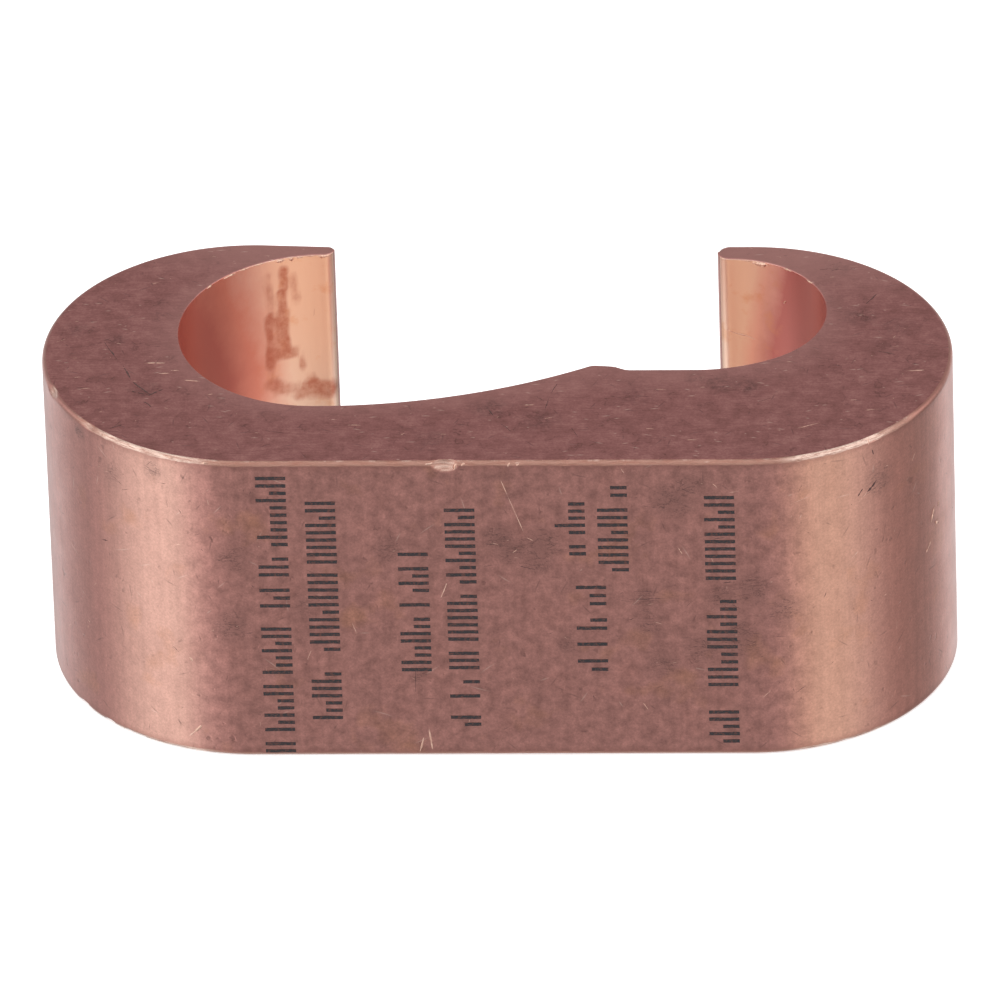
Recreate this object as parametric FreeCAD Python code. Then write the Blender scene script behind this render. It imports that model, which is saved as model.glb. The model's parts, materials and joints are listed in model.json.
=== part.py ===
import FreeCAD, Part

import math
import os

# A compression connector cut from drawn copper bar. The bar's section is a letter C lying on its
# back: a thick front web, a round end on each side and two arms that curl round the back to blunt
# tips. The connector stands on a cut face, with the drawing direction upright.
# Sizes in mm, angles in degrees. Depths are measured back from the flat front face.

cut_length = 20.2            # sawn length of the bar, which is the connector's height

# Run groove, the large one on the left, for the ground rod or the main cable
run_groove_radius = 8.25     # a 5/8 inch rod drops in with a little play
run_end_wall = 7.85          # copper between the groove and the left end
run_web = 6.2                # copper between the groove and the front face
run_arm = 1.35               # copper behind the groove, where the arm is thinnest
run_corner_radius = 12.3     # front corner at the left end
run_arm_lean = 3.5           # fall of the arm's back towards its tip
run_tip_reach = 0.45         # how far the tip passes the groove's centre

# Tap groove, the small one on the right, for the branch cable
tap_groove_radius = 5.8      # takes the largest branch cable, 2/0 stranded
tap_end_wall = 7.45
tap_web = 9.97               # copper in front of the flat beside the groove
tap_groove_rise = 0.45       # the groove's lowest point stands this far above that flat
tap_arm = 1.6
tap_corner_radius = 11.7
tap_tip_reach = 0.7
tap_blend_radius = 9.0       # arc that leads from the flat into the groove

# Between the grooves the web climbs a long ramp to a low crest, then steps down to the flat
groove_spacing = 23.5        # between the groove centres, along the front
ramp_radius = 31.5
crest_height = 0.53          # above the flat on the tap side
land_length = 1.3            # top of the crest
land_fall = 6.0              # its slope towards the tap side
step_length = 0.7            # run of the step from the land down to the flat

# Roundings
run_tip_outer_round = 0.4
run_tip_inner_round = 0.6
tap_tip_outer_round = 0.75
tap_tip_inner_round = 0.75
tip_share = 0.96             # most of a tip's thickness that its two roundings may take
crest_round = 0.8
step_round = 0.9
edge_break = 0.2             # both cut faces, all round

contact = 1e-4               # two points nearer than this are one point

# Places that follow from the sizes above
run_x = run_end_wall + run_groove_radius
run_y = run_web + run_groove_radius
run_depth = run_web + 2 * run_groove_radius + run_arm
run_arm_radius = run_depth - run_corner_radius
run_tip_x = run_x + run_tip_reach

tap_x = run_x + groove_spacing
tap_y = tap_web + tap_groove_rise + tap_groove_radius
tap_depth = tap_y + tap_groove_radius + tap_arm
tap_arm_radius = tap_depth - tap_corner_radius
tap_tip_x = tap_x - tap_tip_reach

overall_width = tap_x + tap_groove_radius + tap_end_wall
overall_depth = max(run_depth, tap_depth)


def place(x, y, z=0.0):
    """Point of the section, moved so that the block stands centred on the origin."""
    return FreeCAD.Vector(x - overall_width / 2, y - overall_depth / 2, z)


def on_circle(centre, radius, angle):
    turn = math.radians(angle)
    return (centre[0] + radius * math.cos(turn), centre[1] + radius * math.sin(turn))


def line(start, end):
    return Part.makeLine(place(*start), place(*end))


def arc(centre, radius, first, last):
    middle = (first + last) / 2
    points = [place(*on_circle(centre, radius, angle)) for angle in (first, middle, last)]
    return Part.Arc(*points).toShape()


def tip_roundings(inner_tip, outer_tip, inner_round, outer_round):
    """Roundings of a blunt arm tip, drawn in where the tip is too thin to carry both."""
    thickness = outer_tip[1] - inner_tip[1]
    ease = min(1.0, tip_share * thickness / (inner_round + outer_round))
    return [(inner_tip, ease * inner_round), (outer_tip, ease * outer_round)]


def web_edges():
    """Inner side of the web, from the bottom of the run groove to where the tap groove begins."""
    ramp_centre = (run_x, run_web + ramp_radius)
    crest_y = tap_web + crest_height
    climb = crest_y - run_web
    crest_x = run_x + math.sqrt(climb * (2 * ramp_radius - climb))
    ramp_end = -90 + math.degrees(math.asin((crest_x - run_x) / ramp_radius))

    crest = (crest_x, crest_y)
    land_end = (crest_x + land_length, crest_y - land_length * math.tan(math.radians(land_fall)))
    step_foot = (land_end[0] + step_length, tap_web)

    # The blend arc touches the tap side of the web and runs tangent into the groove
    spare = tap_blend_radius - tap_groove_radius
    blend_back = math.sqrt(tap_groove_rise * (2 * spare - tap_groove_rise))
    blend_centre = (tap_x - blend_back, tap_web + tap_blend_radius)
    blend_end = math.degrees(math.atan2(tap_y - blend_centre[1], tap_x - blend_centre[0]))

    edges = [
        arc(ramp_centre, ramp_radius, -90, ramp_end),
        line(crest, land_end),
        line(land_end, step_foot),
        line(step_foot, (blend_centre[0], tap_web)),
        arc(blend_centre, tap_blend_radius, -90, blend_end),
    ]
    roundings = [(crest, crest_round), (land_end, step_round), (step_foot, step_round)]
    return edges, roundings, blend_end


def tap_edges(groove_start):
    """Tap groove, the tip of its arm and the round end outside it, down to the front face."""
    inner_tip = (tap_tip_x, tap_y + tap_groove_radius)
    outer_tip = (tap_tip_x, tap_depth)
    arm_centre = (overall_width - tap_arm_radius, tap_corner_radius)
    corner_centre = (overall_width - tap_corner_radius, tap_corner_radius)
    edges = [
        arc((tap_x, tap_y), tap_groove_radius, groove_start, 90),
        line((tap_x, tap_y + tap_groove_radius), inner_tip),
        line(inner_tip, outer_tip),
        line(outer_tip, (arm_centre[0], tap_depth)),
        arc(arm_centre, tap_arm_radius, 90, 0),
        arc(corner_centre, tap_corner_radius, 0, -90),
    ]
    return edges, tip_roundings(inner_tip, outer_tip, tap_tip_inner_round, tap_tip_outer_round)


def run_edges():
    """Round end outside the run groove, the leaning back of its arm, the tip and the groove."""
    corner_centre = (run_corner_radius, run_corner_radius)
    arm_centre = (run_arm_radius, run_corner_radius)
    lean_start = on_circle(arm_centre, run_arm_radius, 90 - run_arm_lean)
    fall = (run_tip_x - lean_start[0]) * math.tan(math.radians(run_arm_lean))
    outer_tip = (run_tip_x, lean_start[1] - fall)
    inner_tip = (run_tip_x, run_y + run_groove_radius)
    edges = [
        arc(corner_centre, run_corner_radius, 270, 180),
        arc(arm_centre, run_arm_radius, 180, 90 - run_arm_lean),
        line(lean_start, outer_tip),
        line(outer_tip, inner_tip),
        line(inner_tip, (run_x, run_y + run_groove_radius)),
        arc((run_x, run_y), run_groove_radius, 90, 270),
    ]
    return edges, tip_roundings(inner_tip, outer_tip, run_tip_inner_round, run_tip_outer_round)


def upright_edge(solid, corner):
    """The edge of the block that stands on a corner of the section."""
    foot = place(*corner)
    for edge in solid.Edges:
        ends = [vertex.Point for vertex in edge.Vertexes]
        offsets = [math.hypot(end.x - foot.x, end.y - foot.y) for end in ends]
        if len(offsets) == 2 and max(offsets) < contact:
            return edge
    raise ValueError("no upright edge at {}".format(corner))


def connector_body():
    web, web_rounds, groove_start = web_edges()
    tap, tap_rounds = tap_edges(groove_start)
    run, run_rounds = run_edges()
    front = line((overall_width - tap_corner_radius, 0), (run_corner_radius, 0))
    section = Part.Face(Part.Wire(web + tap + [front] + run))
    body = section.extrude(FreeCAD.Vector(0, 0, cut_length))

    for corner, radius in web_rounds + tap_rounds + run_rounds:
        body = body.makeFillet(radius, [upright_edge(body, corner)])

    # The saw's burr is taken off round both cut faces
    cut_faces = [face for face in body.Faces if face.BoundBox.ZLength < contact]
    rims = [edge for face in cut_faces for edge in face.OuterWire.Edges]
    return body.makeChamfer(edge_break, rims)


os.makedirs("parts", exist_ok=True)
connector = connector_body()
connector.exportStep("parts/connector_body.step")

box = connector.optimalBoundingBox()
print("connector_body: {:.2f} x {:.2f} x {:.2f} mm".format(box.XLength, box.YLength, box.ZLength))
print("  valid {}, volume {:.1f} mm3".format(connector.isValid(), connector.Volume))
print("  depth at the run end {:.2f}, at the tap end {:.2f}".format(run_depth, tap_depth))
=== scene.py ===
import json
import math
import random
from functools import partial

import bpy
from mathutils import Matrix, Vector


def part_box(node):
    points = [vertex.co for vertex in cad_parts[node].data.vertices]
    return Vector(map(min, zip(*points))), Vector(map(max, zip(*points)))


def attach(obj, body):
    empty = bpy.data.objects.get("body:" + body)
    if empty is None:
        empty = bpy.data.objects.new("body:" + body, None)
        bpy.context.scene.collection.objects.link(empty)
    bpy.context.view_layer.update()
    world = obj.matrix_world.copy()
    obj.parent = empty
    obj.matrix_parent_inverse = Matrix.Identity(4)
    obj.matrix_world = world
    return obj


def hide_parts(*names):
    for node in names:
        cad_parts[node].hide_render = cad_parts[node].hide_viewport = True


# A compression connector cut from drawn copper bar: satin, tarnished skin with a rolled bright rim,
# dull sawn faces, and grooves left bright inside. Rows of plain ink ticks stand on the front.
# Lengths in the dictionaries are millimetres and angles are degrees.

mm = 0.001

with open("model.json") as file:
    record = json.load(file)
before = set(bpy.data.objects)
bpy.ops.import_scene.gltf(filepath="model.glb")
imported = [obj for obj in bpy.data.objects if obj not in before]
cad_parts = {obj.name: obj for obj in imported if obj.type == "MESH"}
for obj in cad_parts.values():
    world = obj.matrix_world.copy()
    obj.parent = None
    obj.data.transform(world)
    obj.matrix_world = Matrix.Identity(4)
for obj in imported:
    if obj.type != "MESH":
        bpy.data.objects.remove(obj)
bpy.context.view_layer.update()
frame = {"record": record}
partLow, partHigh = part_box("connector_body")
mounts = {mount["name"]: mount for mount in frame["record"]["mounts"]}


def toLinear(hexColour):
    # sRGB hex to the linear colour that a shader socket takes
    channels = [int(hexColour[i:i + 2], 16) / 255 for i in (1, 3, 5)]
    return [c / 12.92 if c <= 0.04045 else ((c + 0.055) / 1.055) ** 2.4 for c in channels] + [1.0]


def addNode(tree, kind, settings=None, *values, **named):
    # One node with its settings, its first inputs in order, and others by name, such as Base_Color,
    # or by number, such as input6. An input takes a number, a vector, a colour in hex, another node's
    # socket, or the node itself for the first output that it shows.
    node = tree.nodes.new(kind)
    for name, value in (settings or {}).items():
        setattr(node, name, value)
    keys = [int(name[5:]) if name.startswith("input") else name.replace("_", " ") for name in named]
    for key, value in [*enumerate(values), *zip(keys, named.values())]:
        if isinstance(value, bpy.types.Node):
            value = next(output for output in value.outputs if output.enabled)
        if isinstance(value, bpy.types.NodeSocket):
            tree.links.new(value, node.inputs[key])
        elif isinstance(value, str) and value.startswith("#"):
            node.inputs[key].default_value = toLinear(value)
        else:
            node.inputs[key].default_value = value
    return node


def inMetres(sizes):
    return [size * mm for size in sizes]


def setStops(node, stops):
    # The colours along a ramp, each with its place
    elements = node.color_ramp.elements
    while len(elements) < len(stops):
        elements.new(0.5)
    for element, (place, colour) in zip(elements, stops):
        element.position, element.color = place, colour


def emptyTree(owner):
    # Clears the shader nodes of a material or the world, and gives what adds new ones
    owner.use_nodes = True
    owner.node_tree.nodes.clear()
    return partial(addNode, owner.node_tree)


# Settings that many nodes share

times = {"operation": "MULTIPLY"}
plus = {"operation": "ADD"}
less = {"operation": "SUBTRACT"}
timesPlus = {"operation": "MULTIPLY_ADD"}
larger = {"operation": "MAXIMUM"}
smaller = {"operation": "MINIMUM"}
unsigned = {"operation": "ABSOLUTE"}
scaled = {"operation": "SCALE"}
crossed = {"operation": "CROSS_PRODUCT"}
distance = {"operation": "DISTANCE"}
sine = {"operation": "SINE"}
divided = {"operation": "DIVIDE"}
isMore = {"operation": "GREATER_THAN"}
isLess = {"operation": "LESS_THAN"}
eased = {"interpolation_type": "SMOOTHSTEP"}
inColour = {"data_type": "RGBA"}
shading = {"data_type": "RGBA", "blend_type": "MULTIPLY"}
asVector = {"data_type": "FLOAT_VECTOR"}
asNumber = {"data_type": "FLOAT"}
ofVectors = {"data_type": "VECTOR"}
onPoints = {"data_type": "FLOAT", "domain": "POINT"}


# Section of the bar: the outer and the inner side, from the large arm's tip to the small arm's tip

section = {
    "runWeb": 6.2,             # copper between the large groove and the front
    "runArm": 1.35,            # copper behind the large groove
    "runCornerRadius": 12.3,
    "runArmLean": 3.5,         # fall of the arm's back towards its tip
    "runTipReach": 0.45,       # how far the tip passes the groove's centre
    "tapWeb": 9.97,
    "tapArm": 1.6,
    "tapCornerRadius": 11.7,
    "tapTipReach": 0.7,
    "blendRadius": 9.0,        # leads from the flat into the small groove
    "rampRadius": 31.5,
    "crestHeight": 0.53,
    "landLength": 1.3,
    "landFall": 6.0,
    "stepLength": 0.7,
    "crestRound": 0.8,
    "stepRound": 0.9,
    "runTipRounds": (0.4, 0.6),    # outer corner, inner corner
    "tapTipRounds": (0.75, 0.75),
    "arcStep": 1.0,            # degrees between points on an arc
}


def arcPoints(centre, radius, first, last):
    steps = max(2, round(abs(last - first) / section["arcStep"]))
    turns = [math.radians(first + (last - first) * i / steps) for i in range(steps + 1)]
    return [Vector((centre[0] + radius * math.cos(a), centre[1] + radius * math.sin(a))) for a in turns]


def roundCorner(path, corner, radius):
    # Replaces the sharp corner of a path with an arc that touches both sides
    corner = Vector(corner)
    at = min(range(len(path)), key=lambda i: (path[i] - corner).length)
    back = (path[at - 1] - corner).normalized()
    ahead = (path[at + 1] - corner).normalized()
    half = back.angle(ahead) / 2
    cut = radius / math.tan(half)
    before = [p for p in path[:at] if (p - corner).length > cut]
    after = [p for p in path[at + 1:] if (p - corner).length > cut]
    centre = corner + (back + ahead).normalized() * (radius / math.sin(half))
    start = corner + back * cut - centre
    end = corner + ahead * cut - centre
    turn = start.angle_signed(end)
    steps = max(4, round(math.degrees(abs(turn)) / 6))
    arc = [centre + Matrix.Rotation(-turn * i / steps, 2) @ start for i in range(steps + 1)]
    return before + arc + after


def sectionPaths():
    s = section
    width = (partHigh.x - partLow.x) / mm
    run, tap = mounts["run_groove"], mounts["tap_groove"]
    runR, tapR = run["dims"]["r_mm"], tap["dims"]["r_mm"]
    runC = Vector((run["pos_m"][0] - partLow.x, run["pos_m"][1] - partLow.y)) / mm
    tapC = Vector((tap["pos_m"][0] - partLow.x, tap["pos_m"][1] - partLow.y)) / mm

    runDepth = s["runWeb"] + 2 * runR + s["runArm"]
    armR = runDepth - s["runCornerRadius"]
    armArc = arcPoints((armR, s["runCornerRadius"]), armR, 90 - s["runArmLean"], 180)
    tipX = runC.x + s["runTipReach"]
    tipOut = Vector((tipX, armArc[0].y - (tipX - armArc[0].x) * math.tan(math.radians(s["runArmLean"]))))
    tipIn = Vector((tipX, runC.y + runR))

    tapDepth = tapC.y + tapR + s["tapArm"]
    endR = s["tapCornerRadius"]
    tapArmR = tapDepth - endR
    endX = tapC.x - s["tapTipReach"]
    endOut = Vector((endX, tapDepth))
    endIn = Vector((endX, tapC.y + tapR))

    outer = [tipIn.lerp(tipOut, 0.5), tipOut] + armArc
    outer += arcPoints((s["runCornerRadius"],) * 2, s["runCornerRadius"], 180, 270)
    outer += arcPoints((width - endR, endR), endR, 270, 360)
    outer += arcPoints((width - tapArmR, endR), tapArmR, 0, 90)
    outer += [endOut, endOut.lerp(endIn, 0.5)]
    outer = roundCorner(outer, tipOut, s["runTipRounds"][0])
    outer = roundCorner(outer, endOut, s["tapTipRounds"][0])

    crestY = s["tapWeb"] + s["crestHeight"]
    climb = crestY - s["runWeb"]
    crest = Vector((runC.x + math.sqrt(climb * (2 * s["rampRadius"] - climb)), crestY))
    rampEnd = -90 + math.degrees(math.asin((crest.x - runC.x) / s["rampRadius"]))
    landEnd = crest + Vector((s["landLength"], -s["landLength"] * math.tan(math.radians(s["landFall"]))))
    stepFoot = Vector((landEnd.x + s["stepLength"], s["tapWeb"]))
    rise = tapC.y - tapR - s["tapWeb"]
    spare = s["blendRadius"] - tapR
    blendC = Vector((tapC.x - math.sqrt(rise * (2 * spare - rise)), s["tapWeb"] + s["blendRadius"]))
    blendEnd = math.degrees(math.atan2(tapC.y - blendC.y, tapC.x - blendC.x))

    inner = [tipOut.lerp(tipIn, 0.5), tipIn] + arcPoints(runC, runR, 90, 270)
    inner += arcPoints((runC.x, s["runWeb"] + s["rampRadius"]), s["rampRadius"], -90, rampEnd)[1:]
    inner += [landEnd, stepFoot] + arcPoints(blendC, s["blendRadius"], -90, blendEnd)
    inner += arcPoints(tapC, tapR, blendEnd, 90)[1:] + [endIn, endIn.lerp(endOut, 0.5)]
    inner = roundCorner(inner, tipIn, s["runTipRounds"][1])
    inner = roundCorner(inner, crest, s["crestRound"])
    inner = roundCorner(inner, landEnd, s["stepRound"])
    inner = roundCorner(inner, stepFoot, s["stepRound"])
    inner = roundCorner(inner, endIn, s["tapTipRounds"][1])

    corner = Vector((partLow.x, partLow.y))
    return [[corner + p * mm for p in path] for path in (outer, inner)]


outerPath, innerPath = sectionPaths()
print("the section has", len(outerPath), "points outside and", len(innerPath), "inside")


def pathLength(path):
    return sum((b - a).length for a, b in zip(path, path[1:]))


def skinPlace(along, height, inset=0.0):
    # Point of the outer skin, by its distance to the right of the front's middle and its height
    steps = list(zip(outerPath, outerPath[1:]))
    front = max(range(len(steps)), key=lambda i: (steps[i][1] - steps[i][0]).length)
    start, end = steps[front]
    rest = along * mm - start.x          # measured from the start of the front's straight run
    while rest < 0 and front > 0:
        front -= 1
        rest += (steps[front][1] - steps[front][0]).length
    while rest > (steps[front][1] - steps[front][0]).length and front < len(steps) - 1:
        rest -= (steps[front][1] - steps[front][0]).length
        front += 1
    start, end = steps[front]
    ahead = (end - start).normalized()
    inward = Vector((-ahead.y, ahead.x))
    spot = start + ahead * rest + inward * inset * mm
    return Vector((spot.x, spot.y, partLow.z + height * mm))


def skinFacing(along, lean):
    # Direction out of the skin, tilted up by the lean
    out = (skinPlace(along, 0) - skinPlace(along, 0, 1)).normalized()
    turn = math.radians(lean)
    return out * math.cos(turn) + Vector((0, 0, math.sin(turn)))


def facePlace(x, y):
    return Vector((x * mm, y * mm, partHigh.z))


def grooveBack(x, height):
    # Point of a groove's back wall, which runs straight from the groove's centre to the arm's tip
    mount = mounts["run_groove" if x < 0 else "tap_groove"]
    centre, radius = mount["pos_m"], mount["dims"]["r_mm"] * mm
    away = max(0.0, (abs(x) * mm - abs(centre[0])))
    return Vector((x * mm, centre[1] + math.sqrt(radius ** 2 - away ** 2), partLow.z + height * mm))


# Marks of handling. A place on the skin is its distance along it, to the right of the front's middle,
# and its height; a place on the sawn face is x and y. A scratch or crack then has its angle from the
# horizontal, its length and, if it isn't a fine one, its width.

topNicks = [                   # distance along the skin, size, depth, lean: 90 is from above
    (-2.55, 0.9, 0.36, 12), (-1.55, 0.4, 0.2, 40), (1.1, 0.36, 0.2, 40), (1.6, 0.42, 0.22, 35),
    (-7.3, 0.4, 0.17, 45), (9.2, 0.4, 0.17, 45), (7.5, 0.4, 0.17, 45), (-16.6, 0.5, 0.2, 40),
    (-15.3, 0.35, 0.18, 45), (-22.6, 0.4, 0.2, 45), (-24.6, 0.9, 0.22, 30), (-29.0, 0.9, 0.3, 30),
    (22.5, 0.5, 0.24, 20), (23.8, 0.45, 0.2, 45), (25.6, 0.6, 0.2, 45), (12.6, 0.5, 0.2, 45),
    (-11.2, 0.4, 0.17, 45), (18.6, 0.5, 0.18, 60), (-19.8, 0.6, 0.17, 60), (4.6, 0.5, 0.17, 60),
]
bottomNicks = [
    (-26.2, 0.9, 0.3, -45), (-23.8, 0.8, 0.26, -45), (-22.2, 0.6, 0.24, -45), (-21.4, 0.6, 0.24, -45),
    (-18.8, 0.5, 0.2, -45), (-6.3, 0.4, 0.18, -45), (9.8, 0.4, 0.18, -45), (20.4, 0.6, 0.2, -45),
]
skinScratches = [
    (-20.1, 9.1, -18, 0.8), (-17.6, 1.5, 47, 2.1, 0.3), (-18.1, 14.2, 9, 0.7, 0.1),
    (-16.3, 17.4, -79, 0.6), (-23.0, 10.4, -64, 0.4), (-25.3, 6.4, -32, 0.5), (-27.7, 4.8, 39, 0.8),
    (-17.7, 6.4, -60, 0.5, 0.24), (-4.5, 0.6, 76, 2.0, 0.16), (-3.9, 0.9, 96, 2.6, 0.2),
    (-2.9, 11.4, -110, 1.8, 0.11), (1.2, 17.3, -71, 5.4, 0.12), (17.8, 17.2, 18, 1.9),
    (27.8, 12.3, 62, 1.5, 0.34), (28.3, 11.5, 48, 0.7, 0.36), (27.2, 10.4, 40, 1.2, 0.26),
    (28.6, 12.6, 70, 0.6, 0.3), (10.8, 14.1, -63, 0.8, 0.1), (21.2, 12.7, 37, 1.0),
    (-23.6, 17.8, 48, 0.9), (23.2, 9.1, 21, 0.8), (15.6, 4.2, 44, 1.0), (-8.1, 8.8, -72, 1.4),
    (8.6, 3.4, -61, 1.0), (7.6, 19.6, -60, 0.6), (1.3, 14.1, 40, 0.6), (2.2, 14.9, -35, 0.6),
    (25.8, 17.3, 50, 0.9), (21.8, 16.4, 38, 1.3), (12.9, 18.5, -50, 0.8), (-2.0, 19.95, 80, 1.0, 0.34),
    (-1.5, 20.1, 60, 0.6, 0.32), (1.1, 20.05, 80, 0.6, 0.26), (1.6, 20.05, 75, 0.6, 0.3),
    (-3.4, 20.1, 8, 0.7, 0.2), (22.3, 20.0, 70, 0.6, 0.24), (-23.2, 20.1, 20, 0.5, 0.3),
    (-16.4, 20.1, 10, 0.8, 0.22), (-18.5, 20.15, 0, 1.4, 0.16),
]
skinCracks = [
    (-17.3, 15.5, -79, 0.5), (-17.0, 15.1, 22, 0.5), (-16.8, 14.1, -51, 0.4), (-23.4, 12.8, 15, 0.9),
    (1.9, 13.0, -15, 1.7, 0.07), (22.4, 16.9, 38, 1.5, 0.2), (21.6, 16.8, 50, 0.8, 0.14),
    (8.9, 10.8, 2, 3.0), (23.2, 13.4, 78, 2.0, 0.06), (22.5, 19.3, -80, 0.9, 0.14), (3.9, 12.3, 2, 1.8),
    (8.6, 11.3, 0, 1.6), (-4.6, 5.2, 88, 3.2, 0.06), (13.0, 14.9, 10, 1.2, 0.1),
    (13.6, 11.9, 5, 1.0, 0.1),
]
faceScratches = [
    (-24.4, -0.6, 0, 0.7), (-19.8, -1.2, 0, 1.7, 0.2), (-17.6, -3.1, -8, 1.6, 0.16),
    (-16.4, -4.6, 17, 0.5), (-20.2, 7.6, 21, 0.6), (24.3, -2.3, 5, 1.6, 0.1), (21.9, -6.5, 9, 1.3),
    (18.2, -8.2, 24, 2.2, 0.06), (23.0, 1.4, 63, 0.5), (17.0, -1.3, 0, 0.5), (-15.8, -10.6, 0, 0.5),
    (-2.8, -9.0, 0, 0.7), (9.1, -8.5, 0, 0.7), (2.0, -5.9, 4, 1.4), (-7.7, -5.2, 10, 1.2),
    (11.5, -9.7, 0, 1.1), (-19.2, -2.3, 5, 0.9), (-18.6, -2.0, -3, 0.8), (-9.2, -7.4, 3, 0.8),
    (-7.9, -8.0, -2, 1.1, 0.08),
]
faceCracks = [
    (-22.4, 0.2, -66, 3.4, 0.15), (-21.3, -2.2, -70, 2.2, 0.16), (-20.5, -3.8, -52, 2.4, 0.18),
    (-19.6, -4.4, 40, 1.8, 0.16), (-20.0, -5.6, -50, 1.6, 0.16), (-20.6, -4.4, -20, 1.4, 0.15),
    (3.5, -4.0, -108, 1.7, 0.07), (3.1, -5.7, -98, 1.6, 0.08), (2.7, -5.2, -49, 1.0),
    (-0.1, -6.7, -65, 1.8, 0.08), (0.8, -8.3, -54, 1.9), (4.8, -8.9, -69, 1.7),
    (-21.6, -8.0, 30, 1.8, 0.12), (21.6, 5.6, 60, 2.2, 0.1), (22.6, -0.4, -20, 2.0, 0.08),
    (15.6, -5.4, 30, 1.8), (-12.6, -8.6, -15, 2.2),
]
skinSmudges = [                # place, size, strength
    (-19.6, 18.9, 0.9, 0.6), (0.5, 14.9, 1.3, 0.8), (2.8, 14.5, 1.6, 0.7), (4.2, 7.7, 0.8, 0.7),
    (-6.0, 14.2, 1.2, 0.5), (14.9, 11.4, 1.8, 0.6), (14.2, 8.0, 1.8, 0.6), (-15.2, 8.9, 1.5, 0.6),
    (-15.1, 13.6, 1.3, 0.5), (11.9, 7.3, 1.6, 0.5), (8.7, 10.7, 1.4, 0.4), (23.0, 17.1, 1.4, 0.7),
    (16.8, 10.0, 1.6, 0.5), (-22.6, 17.6, 1.2, 0.4), (10.5, 17.5, 1.6, 0.7), (11.5, 18.6, 1.2, 0.6),
    (1.1, 14.2, 1.2, 0.8), (2.6, 13.4, 1.2, 0.6), (-25.4, 19.3, 0.6, 0.9), (13.2, 10.9, 1.3, 0.6),
    (-11.0, 10.4, 1.4, 0.4), (-4.5, 5.6, 0.9, 0.5), (8.9, 9.2, 1.6, 0.4), (9.6, 6.3, 1.5, 0.4),
]
faceSmudges = [
    (19.7, 8.9, 1.1, 0.9), (21.0, 3.7, 1.3, 0.9), (-22.2, 1.3, 0.8, 0.8), (-20.1, -4.1, 1.2, 0.6),
    (13.0, -3.6, 1.3, 1.0), (11.6, -3.1, 0.8, 0.8), (14.6, -3.9, 1.1, 0.9), (-0.2, -6.2, 1.5, 0.8),
    (2.8, -7.5, 1.6, 0.6), (8.2, -4.9, 1.4, 0.5), (-3.5, -9.6, 1.5, 0.5), (-24.6, 2.4, 1.1, 0.5),
    (23.2, 2.4, 1.4, 0.5), (22.5, 0.4, 1.4, 0.4),
]
grooveStains = [               # where a stroke starts and ends (x, height), its width, strength
    ((-13.8, 16.3), (-13.8, 12.9), 0.5, 1.0), ((-13.3, 16.1), (-13.3, 13.4), 0.5, 0.7),
    ((-13.0, 17.8), (-12.9, 13.5), 0.5, 1.0), ((-12.9, 13.5), (-12.4, 13.6), 0.45, 1.0),
    ((-12.9, 19.3), (-12.8, 18.2), 0.5, 0.8), ((-13.8, 19.1), (-13.7, 16.6), 0.5, 0.55),
    ((-12.5, 18.8), (-12.3, 17.3), 0.5, 0.45), ((-13.7, 11.7), (-13.2, 11.2), 0.8, 0.9),
    ((-13.2, 11.2), (-12.3, 11.0), 0.75, 0.7), ((-12.3, 10.8), (-11.5, 11.2), 0.8, 0.9),
    ((-11.5, 11.2), (-10.4, 10.9), 0.85, 1.0), ((-12.0, 13.2), (-12.0, 12.5), 0.35, 0.6),
]
grooveScratches = [            # x, height, angle, length, width
    (13.8, 15.0, -17, 1.9, 0.14), (16.4, 17.8, 60, 0.3, 0.14), (-11.2, 16.2, 80, 0.6, 0.05),
]
burrs = [                      # x, length, thickness of the crumbs left on the back rims of the grooves
    (-17.0, 0.3, 0.16), (-15.9, 0.7, 0.24), (-15.1, 0.5, 0.2), (-14.2, 0.8, 0.14), (-13.0, 0.6, 0.36),
    (-12.4, 0.3, 0.34), (-11.9, 0.4, 0.22), (-11.2, 0.6, 0.16), (-10.5, 0.7, 0.3), (12.7, 0.7, 0.14),
    (15.0, 1.0, 0.42), (14.2, 0.7, 0.18), (16.6, 0.5, 0.18), (17.9, 0.4, 0.14),
]


# What the Geometry Nodes trees read, and how a tree becomes a plain mesh

def addObject(name, data):
    made = bpy.data.objects.new(name, data)
    bpy.context.scene.collection.objects.link(made)
    return made


def helperCurve(name, paths, widths=()):
    curve = bpy.data.curves.new(name, "CURVE")
    curve.dimensions = "3D"
    for number, path in enumerate(paths):
        spline = curve.splines.new("POLY")
        spline.points.add(len(path) - 1)
        for point, place in zip(spline.points, path):
            point.co = (*place.to_3d(), 1)
            point.radius = widths[number] / 2 if widths else 1
    return addObject(name, curve)


def helperPoints(name, places, **columns):
    # Loose points that carry numbers or directions
    mesh = bpy.data.meshes.new(name)
    mesh.from_pydata([tuple(p) for p in places], [], [])
    for key, values in columns.items():
        if isinstance(values[0], Vector):
            flat = [number for value in values for number in value]
            mesh.attributes.new(key, "FLOAT_VECTOR", "POINT").data.foreach_set("vector", flat)
        else:
            mesh.attributes.new(key, "FLOAT", "POINT").data.foreach_set("value", values)
    return addObject(name, mesh)


def newTree(name, sockets):
    # A tree with named inputs, what adds its nodes, and what the inputs give
    tree = bpy.data.node_groups.new(name, "GeometryNodeTree")
    tree.is_modifier = True
    for label, kind in sockets:
        tree.interface.new_socket(label, in_out="INPUT", socket_type="NodeSocket" + kind)
    tree.interface.new_socket("Geometry", in_out="OUTPUT", socket_type="NodeSocketGeometry")
    add = partial(addNode, tree)
    return tree, add, add("NodeGroupInput").outputs


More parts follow.
